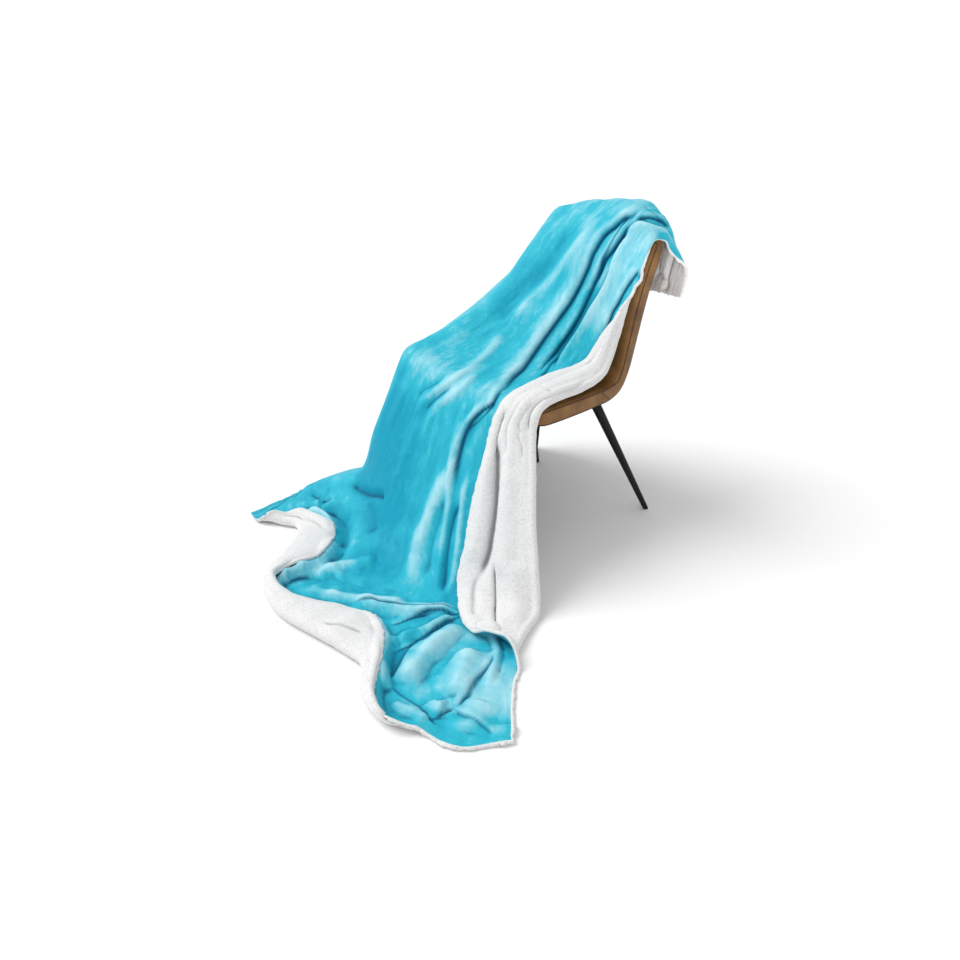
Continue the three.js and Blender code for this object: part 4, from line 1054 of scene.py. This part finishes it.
def makePlush(look):
    # tone = 0.42 + 0.38 nap + 0.78 (streaks + patches - 1) + 0.16 flecks - 0.02 broad, coloured
    # from deep to light, where the nap brings painted highlights and shade and broad a little
    # painted shade in wide hollows; then painted shade of the crease colour where the sheet is
    # hollow or creased
    material, tree, shader = newMaterial("plush", look["shader"])
    plain = clothPlace(tree, (1, 1, 1))
    streaks = noise(tree, clothPlace(tree, (1, 0.3, 1)), 9, 3, 0.55)
    patches = noise(tree, clothPlace(tree, (1, 0.7, 1), 0.5), 28, 6, 0.68)
    flecks = ramp(tree, noise(tree, plain, 38, 4, 0.55), 0.52, 0.76)
    brushed = times(tree, plus(tree, streaks, patches, -1.0), look["brushed"])
    # nap: brushed nap together with painted highlights on ridges and painted shade in furrows and hollows
    napAndPaintedLight = times(tree, readAttribute(tree, "napAndPaintedLight"), look["napAndPaintedLight"])
    # broad: a little painted shade in wide hollows
    broad = times(tree, readAttribute(tree, "broad"), look["broad"])
    tone = plus(tree, brushed, times(tree, flecks, look["flecks"]), napAndPaintedLight, broad, look["tone"])
    ramps = tree.nodes.new("ShaderNodeValToRGB")
    ramps.color_ramp.elements[0].color = look["deep"]
    ramps.color_ramp.elements[1].color = look["light"]
    ramps.color_ramp.elements.new(look["midTone"]).color = look["mid"]
    setInputs(ramps, {"Fac": tone}, tree)
    color = ramps.outputs["Color"]
    # painted shade: towards the crease colour in hollows and in creases
    for name, ends in (("hollow", look["hollow"]), ("crease", look["line"])):
        color = mixColor(tree, ramp(tree, readAttribute(tree, name), *ends), color, look["crease"])
    soft = noise(tree, clothPlace(tree, (1, 0.45, 1)), 30, 3, 0.55)
    pile = noise(tree, plain, 480, 2, 0.6)
    normal = bump(tree, pile, 0.0016, 0.45, bump(tree, soft, 0.007, 0.5))
    setInputs(shader, {"Base Color": color, "Normal": normal}, tree)
    return material


sherpaLook = {
    "light": (0.775, 0.775, 0.775, 1),
    # shade: colour of the painted shade in hollows and between the curls
    "shade": (0.36, 0.36, 0.37, 1),
    # crease: darker painted shade in creases, the lapel's troughs and the hem's seam
    "crease": (0.13, 0.13, 0.14, 1),
    "curls": 190, "hollow": (1.2, 9), "curlShade": (0.85, 3.2), "line": (0.05, 1.15),
    "shader": {"Roughness": 0.95, "Specular IOR Level": 0.05, "Sheen Weight": 0.15},
}


def makeSherpa(look):
    # curls: cells about 5 mm wide, white at their tops with painted shade between them, painted
    # shade in hollows, and dark painted shade in creases by crease + 0.5 fuzz - 0.25
    material, tree, shader = newMaterial("sherpa", look["shader"])
    plain = addNode(tree, "TexCoord", {}, "Object")
    curls = cells(tree, plain, look["curls"])
    fuzz = noise(tree, plain, 330, 3, 0.7)
    clumps = noise(tree, plain, 60, 3, 0.6)
    # painted shade in the sheet's hollows
    deep = ramp(tree, readAttribute(tree, "hollow"), *look["hollow"])
    color = mixColor(tree, deep, look["light"], look["shade"])
    # painted shade between the curls, where curl cells and fuzz leave gaps
    curlShade = ramp(tree, plus(tree, curls, fuzz), *look["curlShade"])
    color = mixColor(tree, curlShade, color, look["shade"])
    # painted shade in creases, the lapel's troughs and the seam, with a fuzzy edge
    line = plus(tree, readAttribute(tree, "crease"), times(tree, fuzz, 0.5), -0.25)
    color = mixColor(tree, ramp(tree, line, *look["line"]), color, look["crease"])
    normal = bump(tree, curls, -0.002, 0.3, bump(tree, clumps, 0.004, 0.2))
    normal = bump(tree, fuzz, 0.002, 0.35, normal)
    setInputs(shader, {"Base Color": color, "Normal": normal}, tree)
    return material


plush.data.materials.append(makePlush(plushLook))
sherpa.data.materials.append(makeSherpa(sherpaLook))

# Middle line of the chair's shell, from the seat front up to the top of the back:
# y, z, half width and thickness
shellRows = [
    (-153, 426, 186, 26), (-138, 427, 206, 40), (-105, 429, 218, 50), (0, 429, 221, 51),
    (85, 430, 221, 50), (140, 433, 221, 50), (178, 448, 220, 50), (200, 478, 219, 50),
    (215, 515, 218, 52), (240, 595, 216, 55), (265, 665, 213, 56), (292, 730, 210, 56),
    (319, 785, 208, 56), (338, 818, 205, 48), (348, 838, 197, 32),
]
shell = {"squareness": 9, "steps": 130, "sides": 72}


def middleLine(place):
    # the shell's table at each place, 0 for its first row
    return smoothTable(np.arange(len(shellRows)), shellRows, place)


def shellPoint(place, angle, out=0):
    # superellipse section |c|^p + |s|^p = 1, set square to the middle line
    y, z, half, thick = middleLine(place).T
    run = unit(middleLine(place + 0.05)[:, :2] - middleLine(place - 0.05)[:, :2])
    c, s = np.cos(angle), np.sin(angle)
    p = shell["squareness"]
    size = (np.abs(c) ** p + np.abs(s) ** p) ** (-1 / p)
    high = (thick / 2 + out) * s * size
    return np.stack([(half + out) * c * size, y - run[:, 1] * high, z + run[:, 0] * high], -1)


def makeShell():
    # sections from the seat front to the top of the back, closed by a fan of triangles at each end
    steps, sides = shell["steps"], shell["sides"]
    place = np.repeat(np.linspace(0, len(shellRows) - 1, steps + 1), sides)
    angle = np.tile(2 * np.pi * (np.arange(sides) + 0.5) / sides, steps + 1)
    vertices = shellPoint(place, angle)
    index = numbered(steps + 1, sides)
    after = np.roll(index, -1, axis=1)
    first, last = (np.full(sides, len(vertices) + end) for end in (0, 1))
    fans = [np.stack([first, index[0], after[0]], -1), np.stack([last, after[-1], index[-1]], -1)]
    vertices = np.concatenate([vertices, [vertices[:sides].mean(0), vertices[-sides:].mean(0)]])
    return addMesh("chair_shell_leather", vertices, [gridQuads(index, True)[:, ::-1], *fans])


chairShell = makeShell()


def makeTube(name, path, radius, closed, sides=10):
    # rings of a circle square to the path, round again if closed, or else narrowed at both ends
    path = np.asarray(path, float)
    size = np.full(len(path), float(radius))
    index = numbered(len(path), sides)
    if closed:
        run = unit(np.roll(path, -1, 0) - np.roll(path, 1, 0))
        faces = [gridQuads(np.concatenate([index, index[:1]]), True)]
    else:
        run = unit(np.gradient(path, axis=0))
        size[[0, -1]] = 0.1 * radius
        faces = [gridQuads(index, True), index[:1, ::-1], index[-1:]]
    side = unit(np.cross(run, np.array([0.13, 0.31, 0.94])))
    up = np.cross(side, run)
    angle = 2 * np.pi * np.arange(sides) / sides
    ring = side[:, None] * np.cos(angle)[None, :, None] + up[:, None] * np.sin(angle)[None, :, None]
    return addMesh(name, (path[:, None] + ring * size[:, None, None]).reshape(-1, 3), faces)


# Trim of the shell. The pipings' and seams' angles round the section, where they begin, end
# and turn along the middle line, and their radii and how far out of the shell they lie
trims = {
    "front": 0.64, "frontTop": 0.44, "rear": -0.72, "first": 0.9, "last": 13.2, "turns": (5, 6.6),
    "steps": 110, "rearRadius": 2.6, "frontRadius": 1.6, "out": 0.4,
    "pleat": 4.25, "slant": 0.55, "inset": 0.06, "pleatSteps": 12, "pleatRadius": 1.1, "pleatOut": 0.1,
}


def shellLoop(low, high):
    # round the shell: up its left side, turned from low to high above the seat, over the top,
    # down the right side and across the front
    first, last, steps = trims["first"], trims["last"], trims["steps"]
    half = math.copysign(math.pi, low)
    up = np.linspace(first, last, steps)
    side = low + (high - low) * rise(up, *trims["turns"])
    over, under = np.linspace(high, half - high, steps // 2), np.linspace(half - low, low, steps // 2)
    place = np.concatenate([up, np.full(len(over), last), up[::-1], np.full(len(under), first)])
    turn = np.concatenate([side, over, half - side[::-1], under])
    keep = np.concatenate([[True], (np.abs(np.diff(place)) + np.abs(np.diff(turn))) > 1e-6])
    return shellPoint(place[keep], turn[keep], trims["out"])[:-1]


rearLoop, frontLoop = shellLoop(trims["rear"], trims["rear"]), shellLoop(trims["front"], trims["frontTop"])
rearPiping = makeTube("rear_piping_leather", rearLoop, trims["rearRadius"], True)
frontPiping = makeTube("front_piping_leather", frontLoop, trims["frontRadius"], True)
pleatTurn = np.linspace(trims["front"] - trims["inset"], trims["rear"] + trims["inset"], trims["pleatSteps"])
pleatPlace = trims["pleat"] + trims["slant"] * (trims["front"] - pleatTurn)
pleats = [makeTube(name, shellPoint(pleatPlace, turn, trims["pleatOut"]), trims["pleatRadius"], False)
          for name, turn in (("pleat_seam_left", pleatTurn), ("pleat_seam_right", math.pi - pleatTurn))]

# The legs: radii, height, and their rings' heights, the lowest rounded in by these amounts
legs = {
    "top": 17, "foot": 9, "height": 396.6, "sides": 36,
    "rings": (0, 0, 1, 2.5, 5, 60, 200, 330), "rounding": (2.2, 1.0, 0.3), "tip": 0.01,
}
legRows = [
    ("leg_rear_left", (238, 331), (139, 157)),
    ("leg_rear_right", (-238, 331), (-139, 157)),
    ("leg_front_left", (228, -212), (139, -84)),
    ("leg_front_right", (-228, -212), (-139, -84)),
]


def makeLeg(name, foot, head):
    # straight taper from foot to head: radius = foot + (top - foot) * height share, the lowest
    # rings rounded in and the first and last drawn to a tip
    height = np.array([*legs["rings"], legs["height"], legs["height"]])
    radius = legs["foot"] + (legs["top"] - legs["foot"]) * height / legs["height"]
    inward = np.zeros(len(height))
    inward[1:4] = legs["rounding"]
    inward[[0, -1]] = radius[[0, -1]] - legs["tip"]
    radius = (radius - inward)[:, None]
    share = (height / legs["height"])[:, None]
    angle = 2 * np.pi * np.arange(legs["sides"]) / legs["sides"]
    x = foot[0] + (head[0] - foot[0]) * share + radius * np.cos(angle)
    y = foot[1] + (head[1] - foot[1]) * share + radius * np.sin(angle)
    ring = np.stack([x, y, np.broadcast_to(height[:, None], x.shape)], -1)
    return addMesh(name + "_steel", ring.reshape(-1, 3), [gridQuads(numbered(*x.shape), True)])


legPieces = [makeLeg(*row) for row in legRows]

leatherLook = {
    "light": (0.29, 0.145, 0.042, 1),
    "dark": (0.125, 0.057, 0.014, 1),
    "shader": {"Roughness": 0.42, "Specular IOR Level": 0.3},
}
pipingLook = leatherLook | {"light": (0.085, 0.03, 0.012, 1), "dark": (0.04, 0.016, 0.007, 1)}
steelLook = {"Base Color": (0.004, 0.0045, 0.006, 1), "Specular IOR Level": 0.25}


def makeLeather(name, look):
    # dark to light by a cloudy noise, with fine grain cells under soft dents
    material, tree, shader = newMaterial(name, look["shader"])
    place = addNode(tree, "TexCoord", {}, "Object")
    cloud = ramp(tree, noise(tree, place, 14, 4, 0.6), 0.3, 0.75)
    grain = bump(tree, cells(tree, place, 700), -0.0006, 0.4)
    normal = bump(tree, noise(tree, place, 60), 0.003, 0.25, grain)
    color = mixColor(tree, cloud, look["dark"], look["light"])
    setInputs(shader, {"Base Color": color, "Normal": normal}, tree)
    return material


def makeSteel(look):
    # a fine grain in the roughness and the normal
    material, tree, shader = newMaterial("steel", look)
    grain = noise(tree, addNode(tree, "TexCoord", {}, "Object"), 900, 2)
    rough, normal = ramp(tree, grain, -2.2, 3.2), bump(tree, grain, 0.0004, 0.2)
    setInputs(shader, {"Roughness": rough, "Normal": normal}, tree)
    return material


leather = makeLeather("leather", leatherLook)
piping = makeLeather("piping", pipingLook)
steel = makeSteel(steelLook)
chairShell.data.materials.append(leather)
for piece in [rearPiping, frontPiping] + pleats:
    piece.data.materials.append(piping)
for piece in legPieces:
    piece.data.materials.append(steel)
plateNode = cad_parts["leg_plate"]
plateNode.data.materials.clear()
plateNode.data.materials.append(steel)
print("chair made")

riders = [(plush, "throw_face", "plush"), (sherpa, "throw_backing", "sherpa")]
riders += [(piece, "chair_shell", "leather") for piece in [chairShell, rearPiping, frontPiping] + pleats]
riders += [(piece, row[0], "steel") for piece, row in zip(legPieces, legRows)]
for piece, node, slot in riders:
    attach(piece, "root")
    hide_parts(node)

# Floor and light. The floor's corner and how far it lies below the feet are in metres, and
# so are the suns' places, each with a power and a width in degrees. The narrow spot on the
# back drop has its place and aim in the chair's millimetres.
studio = {
    "floor": {"Base Color": (0.92, 0.92, 0.92, 1), "Roughness": 0.8, "Specular IOR Level": 0.1},
    "corner": 300, "below": -0.0004,
    "suns": {"key": ((-1.9, -1.3, 3.0), 1.95, 42), "fill": ((2.2, -1.9, 1.1), 0.3, 70)},
    "spotPlace": (1600, -1050, 900), "spotAim": (200, 420, 735),
    "spot": {"energy": 70, "spot_size": math.radians(9), "spot_blend": 0.7, "shadow_soft_size": 0.12},
    "world": 0.66,
}


def makeFloor():
    # one square face round the origin
    corners = [(x * studio["corner"], y * studio["corner"], studio["below"])
               for x, y in ((-1, -1), (1, -1), (1, 1), (-1, 1))]
    mesh = bpy.data.meshes.new("floor")
    mesh.from_pydata(corners, [], [(0, 1, 2, 3)])
    floor = addObject("floor", mesh)
    mesh.materials.append(newMaterial("floor", studio["floor"])[0])


def addLamp(name, kind, place, back, settings):
    # a lamp at place in metres with its settings, turned so that back points behind it
    data = bpy.data.lights.new(name, kind)
    for key, value in settings.items():
        setattr(data, key, value)
    lamp = addObject(name, data)
    lamp.location = place
    lamp.rotation_euler = (math.atan2(math.hypot(back[0], back[1]), back[2]), 0,
                           math.atan2(back[1], back[0]) + math.pi / 2)


makeFloor()
for name, (place, power, softness) in studio["suns"].items():
    addLamp(name, "SUN", place, place, {"energy": power, "angle": math.radians(softness)})
addLamp("back drop", "SPOT", toFrame(studio["spotPlace"]),
        np.array(studio["spotPlace"], float) - studio["spotAim"], studio["spot"])
world = bpy.data.worlds.new("studio")
bpy.context.scene.world = world
world.use_nodes = True
setInputs(world.node_tree.nodes["Background"], {"Color": (1, 1, 1, 1), "Strength": studio["world"]})
bpy.context.scene.view_settings.view_transform = "Standard"
print("studio made")

low, high = cadBox
